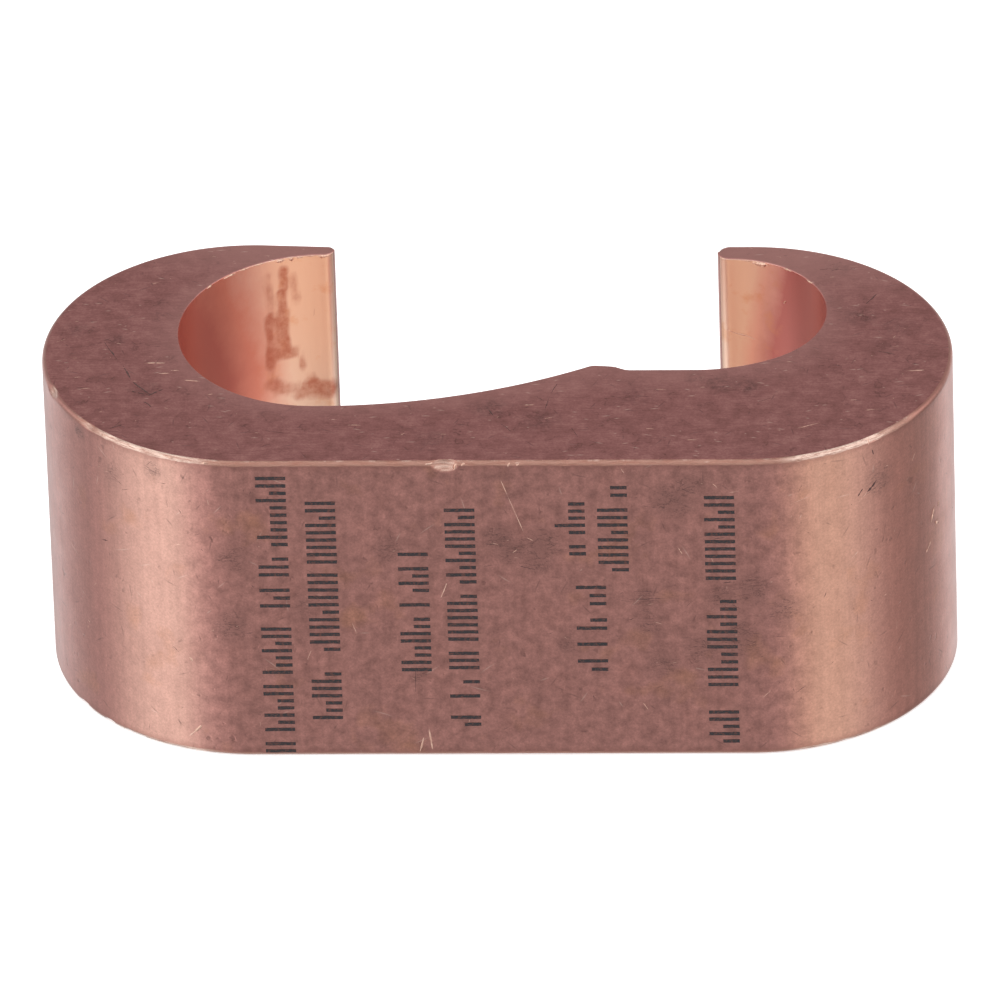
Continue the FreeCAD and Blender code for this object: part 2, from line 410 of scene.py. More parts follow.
def grow(name, tree, values):
    # Runs a tree on an empty mesh, keeps the result as a plain mesh at the origin, drops the helpers
    holder = addObject(name + "Holder", bpy.data.meshes.new(name + "Holder"))
    modifier = holder.modifiers.new(name, "NODES")
    modifier.node_group = tree
    for item in tree.interface.items_tree:
        if item.in_out == "INPUT":
            modifier[item.identifier] = values[item.name]
    bpy.context.view_layer.update()
    graph = bpy.context.evaluated_depsgraph_get()
    mesh = bpy.data.meshes.new_from_object(holder.evaluated_get(graph), depsgraph=graph)
    holder.modifiers.remove(modifier)
    bpy.data.objects.remove(holder)
    for value in values.values():
        if isinstance(value, bpy.types.Object) and value.name.startswith("helper"):
            bpy.data.objects.remove(value)
    mesh.name = name
    print(name, "has", sum(len(p.vertices) - 2 for p in mesh.polygons), "triangles")
    return addObject(name, mesh)


# Materials. Clean copper is a light salmon; tarnish browns it, wear and the drawing die brighten it.
# Painted highlights lighten the skin's round ends, its rim and the sawn arms, and painted shade darkens
# the grooves' walls.

def newMaterial(name, *kept):
    # An empty material, what adds its nodes, Object coordinates in millimetres, and numbers kept on
    # the mesh
    material = bpy.data.materials.new(name)
    add = emptyTree(material)
    coords = add("ShaderNodeTexCoord").outputs["Object"]
    inMm = add("ShaderNodeMapping", Vector=coords, Scale=(1 / mm,) * 3)
    numbers = [add("ShaderNodeAttribute", {"attribute_name": key}).outputs["Fac"] for key in kept]
    return material, add, inMm, *numbers


def scratchGroup():
    # Short straight scratches, one to a cell of a scattered pattern, on a flat pair of coordinates
    group = bpy.data.node_groups.new("scatteredScratches", "ShaderNodeTree")
    for label, kind in (("Place", "Vector"), ("Cell", "Float"), ("Width", "Float"), ("Share", "Float"),
                        ("Turn", "Float")):
        group.interface.new_socket(label, in_out="INPUT", socket_type="NodeSocket" + kind)
    group.interface.new_socket("Mask", in_out="OUTPUT", socket_type="NodeSocketFloat")
    add = partial(addNode, group)
    given = add("NodeGroupInput").outputs
    scale = add("ShaderNodeMath", divided, 1.0, given["Cell"])
    place = add("ShaderNodeVectorMath", scaled, given["Place"], Scale=scale)
    cells = add("ShaderNodeTexVoronoi", {"voronoi_dimensions": "2D"}, Vector=place, Scale=1.0)
    local = add("ShaderNodeVectorMath", less, place, cells.outputs["Position"])
    chance = add("ShaderNodeSeparateColor", Color=cells.outputs["Color"]).outputs
    turn = add("ShaderNodeMath", less, chance[0], 0.5)
    turn = add("ShaderNodeMath", times, turn, given["Turn"])
    turned = add("ShaderNodeVectorRotate", {"rotation_type": "Z_AXIS"}, Vector=local, Angle=turn)
    axes = add("ShaderNodeSeparateXYZ", Vector=turned).outputs
    lengthwise = add("ShaderNodeMath", unsigned, axes["X"])
    bow = add("ShaderNodeMath", times, axes["X"], axes["X"])
    bent = add("ShaderNodeMath", timesPlus, bow, 0.12, axes["Y"])
    sideways = add("ShaderNodeMath", unsigned, bent)
    reach = add("ShaderNodeMapRange", Value=chance[1], To_Min=0.08, To_Max=0.48)
    along = add("ShaderNodeMapRange", Value=lengthwise, From_Max=reach, To_Min=1.0, To_Max=0.0)
    width = add("ShaderNodeMath", times, given["Width"], scale)
    across = add("ShaderNodeMapRange", Value=sideways, From_Max=width, To_Min=1.0, To_Max=0.0)
    shown = add("ShaderNodeMath", isLess, chance[2], given["Share"])
    mask = add("ShaderNodeMath", times, along, across)
    mask = add("ShaderNodeMath", {"operation": "MULTIPLY", "use_clamp": True}, mask, shown)
    add("NodeGroupOutput", Mask=mask)
    return group


scratches = scratchGroup()

skin = {
    "rubbedAndSheen": "#D0A192",       # the round ends, which the hand meets, and paler as painted highlight too
    "tarnished": "#BD857C",    # the front and the far sides, left alone, without the painted highlight
    "brown": "#96655B",
    "orange": "#C98C66",
    "ruddy": "#C88675",        # the right-hand end
    "smudge": "#57423F",
    "rimDull": "#A87667",
    # the rim's bare metal, and its painted glint
    "rimBareAndGlint": "#F4D6C6",
    "patch": 2.6,              # mm across a patch of tarnish
    "cloud": 0.7,
    "grain": 0.13,
    "drawLines": 0.35,         # mm between the faint upright lines left by the die
    "pit": 0.55,
    "warmFrom": 15.6,          # between these two the tarnish is more orange
    "warmTo": 22.5,
    "warmBlend": 3,            # and it sets in and fades over this much
    "ruddyFrom": 19.5,
    "ruddyBlend": 4,
    "brownShare": 0.4,         # the most that each tint covers
    "orangeShare": 0.35,
    "warmShare": 0.34,
    "ruddyShare": 0.45,
    "grimeShare": 0.75,
    "pitShade": 0.72,          # 1 leaves a pit's floor as light as the rest
    "cloudShade": 0.25,        # how far each pattern goes to either side of the colour
    "grainShade": 0.14,
    "lineShade": 0.06,
    "lightShare": 0.4,         # strength of the scattered scratches
    "darkShare": 0.5,
    "rimRagged": 0.22,         # the rim's worn and painted-highlight band ends unevenly, by up to this much
    "rimBand": (0.37, 0.43),   # from the edge
    "rimLine": (0.44, 0.8),    # dull line below it
    "rimTop": (0.03, 0.11),    # painted glint on top of it
    "roughness": 0.32,
    "coat": {"Coat_Weight": 0.35, "Coat_Roughness": 0.3},
    # Scattered scratches, light and dark: mm between them, their width, the share that shows, and how
    # far they turn
    "light": {"Cell": 1.6, "Width": 0.05, "Share": 0.12, "Turn": math.tau},
    "dark": {"Cell": 1.5, "Width": 0.06, "Share": 0.25, "Turn": math.tau},
    "relief": 0.012,           # depth of the grain, and of the streaks in the rim's wear
    "wearRelief": 0.06,
}


def drawnCopper():
    # Drawn copper, handled and lightly tarnished: satin, faintly blotchy, finely grained and scratched
    material, add, inMm, handled, rounded, grime, gap, pressed, facing = newMaterial(
        "drawnCopper", "handled", "rounded", "smudge", "rimGap", "pressed", "facing")
    # The round ends take the paler colour: partly wear, partly painted highlight
    colour = add("ShaderNodeMix", inColour, handled, input6=skin["tarnished"], input7=skin["rubbedAndSheen"])

    # Patches of brown tarnish, an orange tint here and there, and a ruddy right-hand end
    patch = add("ShaderNodeTexNoise", Vector=inMm, Scale=1 / skin["patch"], Detail=6.0, Roughness=0.6)
    brown = add("ShaderNodeMapRange", Value=patch, From_Min=0.5, From_Max=0.8,
                To_Max=skin["brownShare"])
    calm = add("ShaderNodeMapRange", Value=rounded, To_Min=1.0, To_Max=0.3)
    brown = add("ShaderNodeMath", times, brown, calm)
    tint = add("ShaderNodeTexNoise", {"noise_dimensions": "4D"}, Vector=inMm, W=4.0,
               Scale=1 / skin["patch"], Detail=3.0)
    warm = add("ShaderNodeMapRange", Value=tint, From_Min=0.6, From_Max=0.75,
               To_Max=skin["orangeShare"])
    across = add("ShaderNodeSeparateXYZ", Vector=inMm).outputs["X"]
    warmEnd = add("ShaderNodeMapRange", eased, Value=across, From_Min=skin["warmFrom"],
                  From_Max=skin["warmFrom"] + skin["warmBlend"], To_Max=skin["warmShare"])
    fade = add("ShaderNodeMapRange", eased, Value=across, From_Min=skin["warmTo"] - skin["warmBlend"],
               From_Max=skin["warmTo"], To_Min=1.0, To_Max=0.1)
    warmEnd = add("ShaderNodeMath", times, warmEnd, fade)
    warm = add("ShaderNodeMath", plus, warm, warmEnd)
    ruddy = add("ShaderNodeMapRange", eased, Value=across, From_Min=skin["ruddyFrom"],
                From_Max=skin["ruddyFrom"] + skin["ruddyBlend"], To_Max=skin["ruddyShare"])
    for share, tone in ((brown, "brown"), (warm, "orange"), (ruddy, "ruddy")):
        colour = add("ShaderNodeMix", inColour, share, input6=colour, input7=skin[tone])

    # Clouding, grain, and the faint upright lines of drawing, each as a shade of the colour
    cloud = add("ShaderNodeTexNoise", Vector=inMm, Scale=1 / skin["cloud"], Detail=5.0, Roughness=0.6)
    grain = add("ShaderNodeTexNoise", Vector=inMm, Scale=1 / skin["grain"], Detail=3.0, Roughness=0.7)
    upright = add("ShaderNodeMapping", Vector=inMm, Scale=(1.0, 1.0, 0.04))
    lines = add("ShaderNodeTexNoise", Vector=upright, Scale=1 / skin["drawLines"], Detail=3.0)
    for noise, spread, share in ((cloud, skin["cloudShade"], calm), (grain, skin["grainShade"], 1.0),
                                 (lines, skin["lineShade"], 1.0)):
        shade = add("ShaderNodeMapRange", Value=noise, From_Min=0.3, From_Max=0.7, To_Min=1 - spread,
                    To_Max=1 + spread)
        colour = add("ShaderNodeMix", shading, share, input6=colour, input7=shade)

    # Grime where the marks say: a grey wash, and a scribble of fine dark lines in it
    wash = add("ShaderNodeMapRange", Value=cloud, From_Min=0.35, From_Max=0.65, To_Min=0.1, To_Max=0.8)
    wash = add("ShaderNodeMath", times, grime, wash)
    level = add("ShaderNodeMapping", Vector=inMm, Scale=(0.7, 1.0, 2.2))
    ridge = add("ShaderNodeTexNoise", Vector=level, Scale=1.3, Detail=6.0, Roughness=0.65)
    ridge = add("ShaderNodeMath", less, ridge, 0.5)
    ridge = add("ShaderNodeMath", unsigned, ridge)
    ridge = add("ShaderNodeMapRange", Value=ridge, From_Max=0.03, To_Min=1.0, To_Max=0.0)
    often = add("ShaderNodeMapRange", Value=grime, From_Min=0.1, From_Max=0.5)
    scribble = add("ShaderNodeMath", times, ridge, often)
    dirt = add("ShaderNodeMath", larger, wash, scribble)
    dirt = add("ShaderNodeMath", times, dirt, skin["grimeShare"])
    colour = add("ShaderNodeMix", inColour, dirt, input6=colour, input7=skin["smudge"])

    # Small pits, with a darker floor
    pit = add("ShaderNodeTexNoise", {"noise_dimensions": "4D"}, Vector=inMm, W=9.0,
              Scale=1 / skin["pit"])
    pit = add("ShaderNodeMapRange", Value=pit, From_Min=0.66, From_Max=0.76)
    shade = add("ShaderNodeMapRange", Value=pit, To_Min=1.0, To_Max=skin["pitShade"])
    colour = add("ShaderNodeMix", shading, 1.0, input6=colour, input7=shade)

    # Fine scratches, light and dark, on the unrolled skin
    unrolled = add("ShaderNodeAttribute", {"attribute_name": "unrolled"}).outputs["Vector"]
    unrolled = add("ShaderNodeMapping", Vector=unrolled, Scale=(1 / mm,) * 3)
    light = add("ShaderNodeGroup", {"node_tree": scratches}, Place=unrolled, **skin["light"])
    apart = add("ShaderNodeMapping", Vector=unrolled, Location=(17.3, 9.1, 0))
    dark = add("ShaderNodeGroup", {"node_tree": scratches}, Place=apart, **skin["dark"])
    lightTone = add("ShaderNodeMath", times, light, skin["lightShare"])
    darkTone = add("ShaderNodeMath", times, dark, skin["darkShare"])

    # The rolled rim is rubbed bright, and a painted glint makes it brighter still, most of all on the
    # round ends, with a dull line just below it
    ragged = add("ShaderNodeMath", timesPlus, cloud, skin["rimRagged"] * mm, gap)
    below = add("ShaderNodeMapRange", None, ragged, *inMetres(skin["rimLine"]), To_Min=0.4, To_Max=0.0)
    for share, tone in ((lightTone, "rimBareAndGlint"), (darkTone, "smudge"), (below, "brown")):
        colour = add("ShaderNodeMix", inColour, share, input6=colour, input7=skin[tone])
    # Painted glint: pale streaks on the rim that are strongest on the round ends, a painted line along
    # its top, and painted highlight on nick floors
    drawnOut = add("ShaderNodeMapping", Vector=unrolled, Scale=(0.9, 8.0, 1.0))
    streak = add("ShaderNodeTexNoise", Vector=drawnOut, Scale=1.0, Detail=6.0, Roughness=0.7)
    glint = add("ShaderNodeMapRange", Value=streak, From_Min=0.36, From_Max=0.56)
    onTop = add("ShaderNodeMapRange", None, gap, *inMetres(skin["rimTop"]), To_Min=1.0, To_Max=0.0)
    length = add("ShaderNodeMapping", Vector=unrolled, Scale=(0.55, 0.0, 0.0))
    length = add("ShaderNodeTexNoise", Vector=length, Scale=1.0, Detail=4.0, Roughness=0.7)
    length = add("ShaderNodeMapRange", Value=length, From_Min=0.5, From_Max=0.7)
    length = add("ShaderNodeMath", larger, length, handled)
    onTop = add("ShaderNodeMath", times, onTop, length)
    shine = add("ShaderNodeMapRange", Value=handled, From_Max=0.4, To_Min=0.12, To_Max=0.9)
    shine = add("ShaderNodeMath", times, glint, shine)
    shine = add("ShaderNodeMath", larger, shine, onTop)
    torn = add("ShaderNodeMapRange", Value=streak, From_Min=0.4, From_Max=0.62, To_Min=0.15, To_Max=0.6)
    torn = add("ShaderNodeMath", times, torn, pressed)
    shine = add("ShaderNodeMath", larger, shine, torn)
    rim = add("ShaderNodeMix", inColour, shine, input6=skin["rimDull"], input7=skin["rimBareAndGlint"])
    rimWearAndGlint = add("ShaderNodeMapRange", None, ragged, *inMetres(skin["rimBand"]), To_Min=1.0, To_Max=0.0)
    rimWearAndGlint = add("ShaderNodeMath", times, rimWearAndGlint, facing)
    rimWearAndGlint = add("ShaderNodeMath", larger, rimWearAndGlint, pressed)
    colour = add("ShaderNodeMix", inColour, rimWearAndGlint, input6=colour, input7=rim)

    rough = add("ShaderNodeMapRange", Value=patch, From_Min=0.3, From_Max=0.7,
                To_Min=skin["roughness"] - 0.04, To_Max=skin["roughness"] + 0.08)
    height = grain
    for relief, depth in ((lines, 0.3), (light, 0.8), (dark, -0.8), (pit, -2.5)):
        height = add("ShaderNodeMath", timesPlus, relief, depth, height)
    bump = add("ShaderNodeBump", Height=height, Strength=0.5, Distance=skin["relief"] * mm)
    dented = add("ShaderNodeBump", Height=streak, Strength=rimWearAndGlint, Distance=skin["wearRelief"] * mm,
                 Normal=bump)

    # A film of oxide and handling over the metal makes it paler where it turns away from the eye
    shader = add("ShaderNodeBsdfPrincipled", Base_Color=colour, Metallic=1.0, Roughness=rough,
                 Normal=dented, **skin["coat"])
    add("ShaderNodeOutputMaterial", Surface=shader)
    return material


cutFace = {
    "dark": "#8B5A54",
    "plain": "#AC736F",
    "light": "#C89189",
    "grime": "#47302E",
    "bright": "#F2CFC0",
    "armSheen": "#C48F88",          # painted sheen: lighter where the arms are thin and towards the grooves' edges
    "tones": [(0.34, "dark"), (0.51, "plain"), (0.68, "light")],    # spread of the mottling
    "streak": 0.12,            # mm between saw streaks
    "mottle": 1.2,
    "speck": 0.14,
    "crack": 2.4,              # mm between hairlines
    "grimeShare": 0.75,
    "roughness": 0.46,
    "relief": 0.03,
    "shares": (0.55, 0.25, 0.2),    # of the mottle, the streaks and the specks in the mottling
    "clumps": (0.5, 0.64),     # how much of the face the clumps of scuffs take: less if higher
    "scuffShare": 0.65,        # strength of the scuffs, and of the scrapes
    "scrapeShare": 0.5,
    "scuffs": {"Cell": 0.7, "Width": 0.05, "Turn": 0.7},
    "scrapes": {"Cell": 1.3, "Width": 0.06, "Share": 0.4, "Turn": math.tau},
}


def sawnCopper():
    # Sawn copper: dull and mottled, with fine streaks the way the blade went, bright scuffs and dirt
    material, add, inMm, grime, thin, across, pressed = newMaterial(
        "sawnCopper", "smudge", "thin", "across", "pressed")
    drift = add("ShaderNodeTexNoise", Vector=inMm, Scale=0.25)
    wander = add("ShaderNodeVectorMath", scaled, drift.outputs[1], Scale=0.6)
    wavy = add("ShaderNodeVectorMath", plus, inMm, wander)
    stretched = add("ShaderNodeMapping", Vector=wavy, Scale=(0.12, 1.0, 1.0),
                    Rotation=(0, 0, math.radians(1.5)))
    streaks = add("ShaderNodeTexNoise", Vector=stretched, Scale=1 / cutFace["streak"], Detail=4.0,
                  Roughness=0.65)
    mottle = add("ShaderNodeTexNoise", Vector=inMm, Scale=1 / cutFace["mottle"], Detail=8.0,
                 Roughness=0.72)
    speck = add("ShaderNodeTexNoise", Vector=inMm, Scale=1 / cutFace["speck"], Detail=3.0)
    both = add("ShaderNodeMath", times, mottle, cutFace["shares"][0])
    for noise, share in zip((streaks, speck), cutFace["shares"][1:]):
        both = add("ShaderNodeMath", timesPlus, noise, share, both)
    colour = add("ShaderNodeValToRGB", Fac=both)
    setStops(colour, [(place, toLinear(cutFace[key])) for place, key in cutFace["tones"]])

    # Hairlines of dirt everywhere, more of them in the smudges, which have a dark wash too
    ragged = add("ShaderNodeTexNoise", Vector=inMm, Scale=2.6, Detail=6.0, Roughness=0.75)
    wash = add("ShaderNodeMapRange", Value=ragged, From_Min=0.4, From_Max=0.62)
    wash = add("ShaderNodeMath", times, grime, wash)
    crack = add("ShaderNodeTexNoise", Vector=inMm, Scale=1 / cutFace["crack"], Detail=4.0,
                Roughness=0.55)
    crack = add("ShaderNodeMath", less, crack, 0.5)
    crack = add("ShaderNodeMath", unsigned, crack)
    crack = add("ShaderNodeMapRange", Value=crack, From_Max=0.012, To_Min=0.5, To_Max=0.0)
    broken = add("ShaderNodeMapRange", Value=mottle, From_Min=0.52, From_Max=0.42)
    crack = add("ShaderNodeMath", times, crack, broken)
    dirt = add("ShaderNodeMath", larger, wash, crack)
    dirt = add("ShaderNodeMath", times, dirt, cutFace["grimeShare"])

    # Bright scuffs in clumps, nearly level, and darker scratches any way
    clump = add("ShaderNodeTexNoise", Vector=inMm, Scale=0.35, Detail=3.0)
    clump = add("ShaderNodeMapRange", None, clump, *cutFace["clumps"], To_Min=0.02, To_Max=0.45)
    light = add("ShaderNodeGroup", {"node_tree": scratches}, Place=inMm, Share=clump,
                **cutFace["scuffs"])
    apart = add("ShaderNodeMapping", Vector=inMm, Location=(5.7, 3.3, 0))
    dark = add("ShaderNodeGroup", {"node_tree": scratches}, Place=apart, **cutFace["scrapes"])
    darkTone = add("ShaderNodeMath", times, dark, cutFace["scrapeShare"])
    # Painted sheen: the face is lighter where the arms are thin and towards the inner edge
    rubbedAndSheen = add("ShaderNodeMapRange", Value=across, From_Min=0.7, To_Max=0.45)
    thin = add("ShaderNodeMath", larger, thin, rubbedAndSheen)
    lightTone = add("ShaderNodeMath", times, light, cutFace["scuffShare"])
    for share, tone in ((dirt, "grime"), (darkTone, "grime"), (thin, "armSheen"), (lightTone, "bright")):
        colour = add("ShaderNodeMix", inColour, share, input6=colour, input7=cutFace[tone])
    # Nick floors on the face take the bright rim colour: bare metal and painted highlight
    colour = add("ShaderNodeMix", inColour, pressed, input6=colour, input7=skin["rimBareAndGlint"])

    height = both
    for relief, depth in ((light, 0.6), (dark, -0.8)):
        height = add("ShaderNodeMath", timesPlus, relief, depth, height)
    bump = add("ShaderNodeBump", Height=height, Strength=0.6, Distance=cutFace["relief"] * mm)
    shader = add("ShaderNodeBsdfPrincipled", Base_Color=colour, Metallic=1.0,
                 Roughness=cutFace["roughness"], Normal=bump)
    add("ShaderNodeOutputMaterial", Surface=shader)
    return material


groove = {
    "fresh": "#FDDCC6",
    "warm": "#E8957F",         # painted shade: the walls darken towards the grooves' ends, and downwards
    "red": "#D07668",
    "salmon": "#F4BFAC",
    "pink": "#C0766E",         # in the small groove the painted shade is browner and starts sooner
    "stain": "#BE6E56",
    "orange": "#EDAE7C",
    "runToneAndShade": [(0.4, "fresh"), (0.66, "warm"), (0.85, "red")],
    "tapToneAndShade": [(0.2, "fresh"), (0.33, "salmon"), (0.54, "pink")],
    "roughness": 0.36,
    "relief": 0.02,
    "cloudy": 0.16,            # how far clouds shift the walls' painted shade
    "litUpperWall": (13.0, 20.0),    # heights between which the walls get brighter: painted light from the open top
    "stainRagged": 1.4,
    "stainEdge": (0.75, 1.65),    # stains are smaller and sharper if these are higher and nearer
}


def brightCopper():
    # Copper that the hand doesn't reach: bright salmon walls with reddish water stains, and painted
    # shade that darkens the walls towards the grooves' ends and lower down
    material, add, inMm, sideways, stain = newMaterial("brightCopper", "sideways", "smudge")
    cloud = add("ShaderNodeTexNoise", Vector=inMm, Scale=0.55, Detail=6.0, Roughness=0.65)
    # Painted shade: the walls darken where they turn sideways, towards the grooves' ends, and lower down
    drift = add("ShaderNodeMath", timesPlus, cloud, groove["cloudy"], sideways)
    split = add("ShaderNodeSeparateXYZ", Vector=inMm).outputs
    litFromAbove = add("ShaderNodeMapRange", None, split["Z"], *groove["litUpperWall"], To_Min=0.06, To_Max=-0.15)
    drift = add("ShaderNodeMath", plus, drift, litFromAbove)
    large, small = add("ShaderNodeValToRGB", Fac=drift), add("ShaderNodeValToRGB", Fac=drift)
    for ramp, tones in ((large, groove["runToneAndShade"]), (small, groove["tapToneAndShade"])):
        setStops(ramp, [(place, toLinear(groove[key])) for place, key in tones])
    onTap = add("ShaderNodeMapRange", Value=split["X"], From_Min=-2.0, From_Max=2.0)
    colour = add("ShaderNodeMix", inColour, onTap, input6=large, input7=small)
    warm = add("ShaderNodeMapRange", Value=cloud, From_Min=0.55, From_Max=0.7, To_Max=0.5)
    pale = add("ShaderNodeMapRange", Value=sideways, From_Min=0.6, From_Max=0.35)
    warm = add("ShaderNodeMath", times, warm, pale)

    # Water stains, ragged and mottled
    upright = add("ShaderNodeMapping", Vector=inMm, Scale=(1.0, 1.0, 0.5))
    ragged = add("ShaderNodeTexNoise", Vector=upright, Scale=1.1, Detail=3.0)
    edge = add("ShaderNodeMath", timesPlus, ragged, groove["stainRagged"], stain)
    edge = add("ShaderNodeMapRange", eased, edge, *groove["stainEdge"])
    mottle = add("ShaderNodeTexNoise", Vector=inMm, Scale=1.8, Detail=3.0, Roughness=0.6)
    mottle = add("ShaderNodeMapRange", Value=mottle, From_Min=0.35, From_Max=0.65, To_Min=0.55,
                 To_Max=0.85)
    edge = add("ShaderNodeMath", times, edge, mottle)
    held = add("ShaderNodeMapRange", Value=stain, From_Max=0.1)
    edge = add("ShaderNodeMath", times, edge, held)
    for share, tone in ((warm, "orange"), (edge, "stain")):
        colour = add("ShaderNodeMix", inColour, share, input6=colour, input7=groove[tone])
    drawn = add("ShaderNodeMapping", Vector=inMm, Scale=(1.0, 1.0, 0.05))
    lines = add("ShaderNodeTexNoise", Vector=drawn, Scale=2.5, Detail=4.0)
    bump = add("ShaderNodeBump", Height=lines, Strength=0.35, Distance=groove["relief"] * mm)
    shader = add("ShaderNodeBsdfPrincipled", Base_Color=colour, Metallic=1.0,
                 Roughness=groove["roughness"], Normal=bump)
    add("ShaderNodeOutputMaterial", Surface=shader)
    return material


def fineTone(name, dull, bright, noise, **finish):
    # What a mark lays bare or holds: two tones of it in a fine noise
    material, add, inMm = newMaterial(name)
    grit = add("ShaderNodeTexNoise", Vector=inMm, **noise)
    tone = add("ShaderNodeMix", inColour, grit, input6=dull, input7=bright)
    shader = add("ShaderNodeBsdfPrincipled", Base_Color=tone, **finish)
    add("ShaderNodeOutputMaterial", Surface=shader)
    return material


ink = {
    "colour": "#241F22",
    "worn": "#6B4B46",
    "rows": [                  # baseline x, top and bottom heights, of each stretch of ticks
        (-11.75, 19.1, 14.6), (-11.75, 13.6, 10.4), (-11.75, 8.8, 0.4),
        (-8.95, 17.4, 13.4), (-8.95, 12.5, 7.4), (-8.95, 6.2, 2.2),
        (-3.7, 13.9, 5.0),
        (-0.95, 16.9, 2.2),
        (5.4, 17.3, 13.9),
        (6.5, 11.6, 8.8), (6.5, 7.7, 5.4),
        (7.85, 18.4, 12.8),
        (14.0, 17.7, 12.2), (14.0, 10.6, 4.9), (14.0, 3.0, 1.0),
    ],
    "tall": 1.75,              # a tick's length across the row
    "stroke": 0.22,
    "pitch": 0.48,
    "film": 0.012,             # thickness of the ink
    "skipped": 0.12,           # share of ticks left out
    "short": 0.35,             # share of ticks that are short
    "shortLength": 0.55,       # as a share of a tall one's
    "wobble": 0.06,
    "wobbleScale": 2200.0,     # waves to a metre in a tick's outline
    "seed": 5,
}


def printedInk():
    # Marking ink, dry and matt, rubbed thin in specks
    material, add, inMm = newMaterial("markingInk")
    rub = add("ShaderNodeTexNoise", Vector=inMm, Scale=5.0, Detail=5.0, Roughness=0.7)
    worn = add("ShaderNodeMapRange", Value=rub, From_Min=0.5, From_Max=0.62)
    tone = add("ShaderNodeMix", inColour, worn, input6=ink["colour"], input7=ink["worn"])
    bare = add("ShaderNodeMath", times, worn, 0.8)
    shader = add("ShaderNodeBsdfPrincipled", Base_Color=tone, Metallic=bare, Roughness=0.5)
    add("ShaderNodeOutputMaterial", Surface=shader)
    return material


# The copper body

body = {
    "columns": 425,            # along the section, from tip to tip
    "crowding": 0.35,          # 0 is even, 1 crowds the columns at the tips and the front's middle
    "outerRows": 80,
    "innerRows": 74,
    "capRows": 26,
    "rimRows": 6,
    "outerRim": 0.32,          # rolled edge of the outer skin
    "innerRim": 0.09,          # the grooves' edges are left sharper
    "tipReach": 0.5,           # the bright wall starts this far in from the large arm's tip
    "tapTipExtra": 0.4,        # and this much further from the small arm's
    "setBack": 0.02,           # the skin lies this far inside the drawing, so that ink can lie on it
    "waveSize": 6.0,
    "waveDepth": 0.01,
    "dents": 130,              # shallow dents all over the skin
    "dentSize": (0.3, 0.8),
    "dentDepth": (0.005, 0.018),
    "skinReach": 44,           # random marks lie this far along the skin from the front's middle
    # How level the skin runs, 1 being along the front: where a round end begins, where the hand's wear
    # and the painted highlight of it begin and end, and where its rim stops looking forward, so that the
    # rim's wear and painted glint fade
    "turnStart": (0.995, 0.93),
    "wearAndHighlightEnd": (0.66, 0.9),
    "facingEnd": (0.5, 0.66),
    "wallShadeFade": (1.6, 2.6),     # distance from a tip over which the walls' painted shade sets in
    "thin": (2.6, 6.5),        # thickness over which the painted sheen of the arms fades
    "pressed": (0.02, 0.05),   # depth over which a nick's floor turns bright: bare metal and painted highlight
    "smudgeCore": 0.25,        # share of a smudge's size within which it has its full strength
    "stainStep": 0.15,         # between the points that a stain's stroke is made of
    "weld": 0.002,             # vertices nearer than this are merged
    "seed": 7,
}


def rowPlan():
    # One row a point: share of the way from the outer to the inner side, inset, height
    back, outerRim, innerRim = body["setBack"], body["outerRim"], body["innerRim"]
    low, high = back, (partHigh.z - partLow.z) / mm - back

    def spread(count):
        return [(1 - math.cos(math.pi * i / count)) / 2 for i in range(count + 1)]

    def wall(across, rim, count, rising):
        shares = spread(count) if rising else spread(count)[::-1]
        return [(across, back, low + rim + (high - low - 2 * rim) * s) for s in shares]

    def bend(across, rim, first, last):
        rows = []
        for i in range(1, body["rimRows"]):
            turn = math.radians(first + (last - first) * i / body["rimRows"])
            middle = high - rim if turn > 0 else low + rim
            rows.append((across, back + rim * (1 - math.cos(turn)), middle + rim * math.sin(turn)))
        return rows

    def cap(z, first, last):
        shares = [first + (last - first) * s for s in spread(body["capRows"])]
        return [(s, back + outerRim * (1 - s) + innerRim * s, z) for s in shares]

    rows = wall(0, outerRim, body["outerRows"], True) + bend(0, outerRim, 0, 90)
    rows += cap(high, 0, 1) + bend(1, innerRim, 90, 0)
    rows += wall(1, innerRim, body["innerRows"], False) + bend(1, innerRim, 0, -90)
    rows += cap(low, 1, 0) + bend(0, outerRim, -90, 0)
    rows.append(rows[0])
    return [(across, inset * mm, partLow.z + z * mm) for across, inset, z in rows]


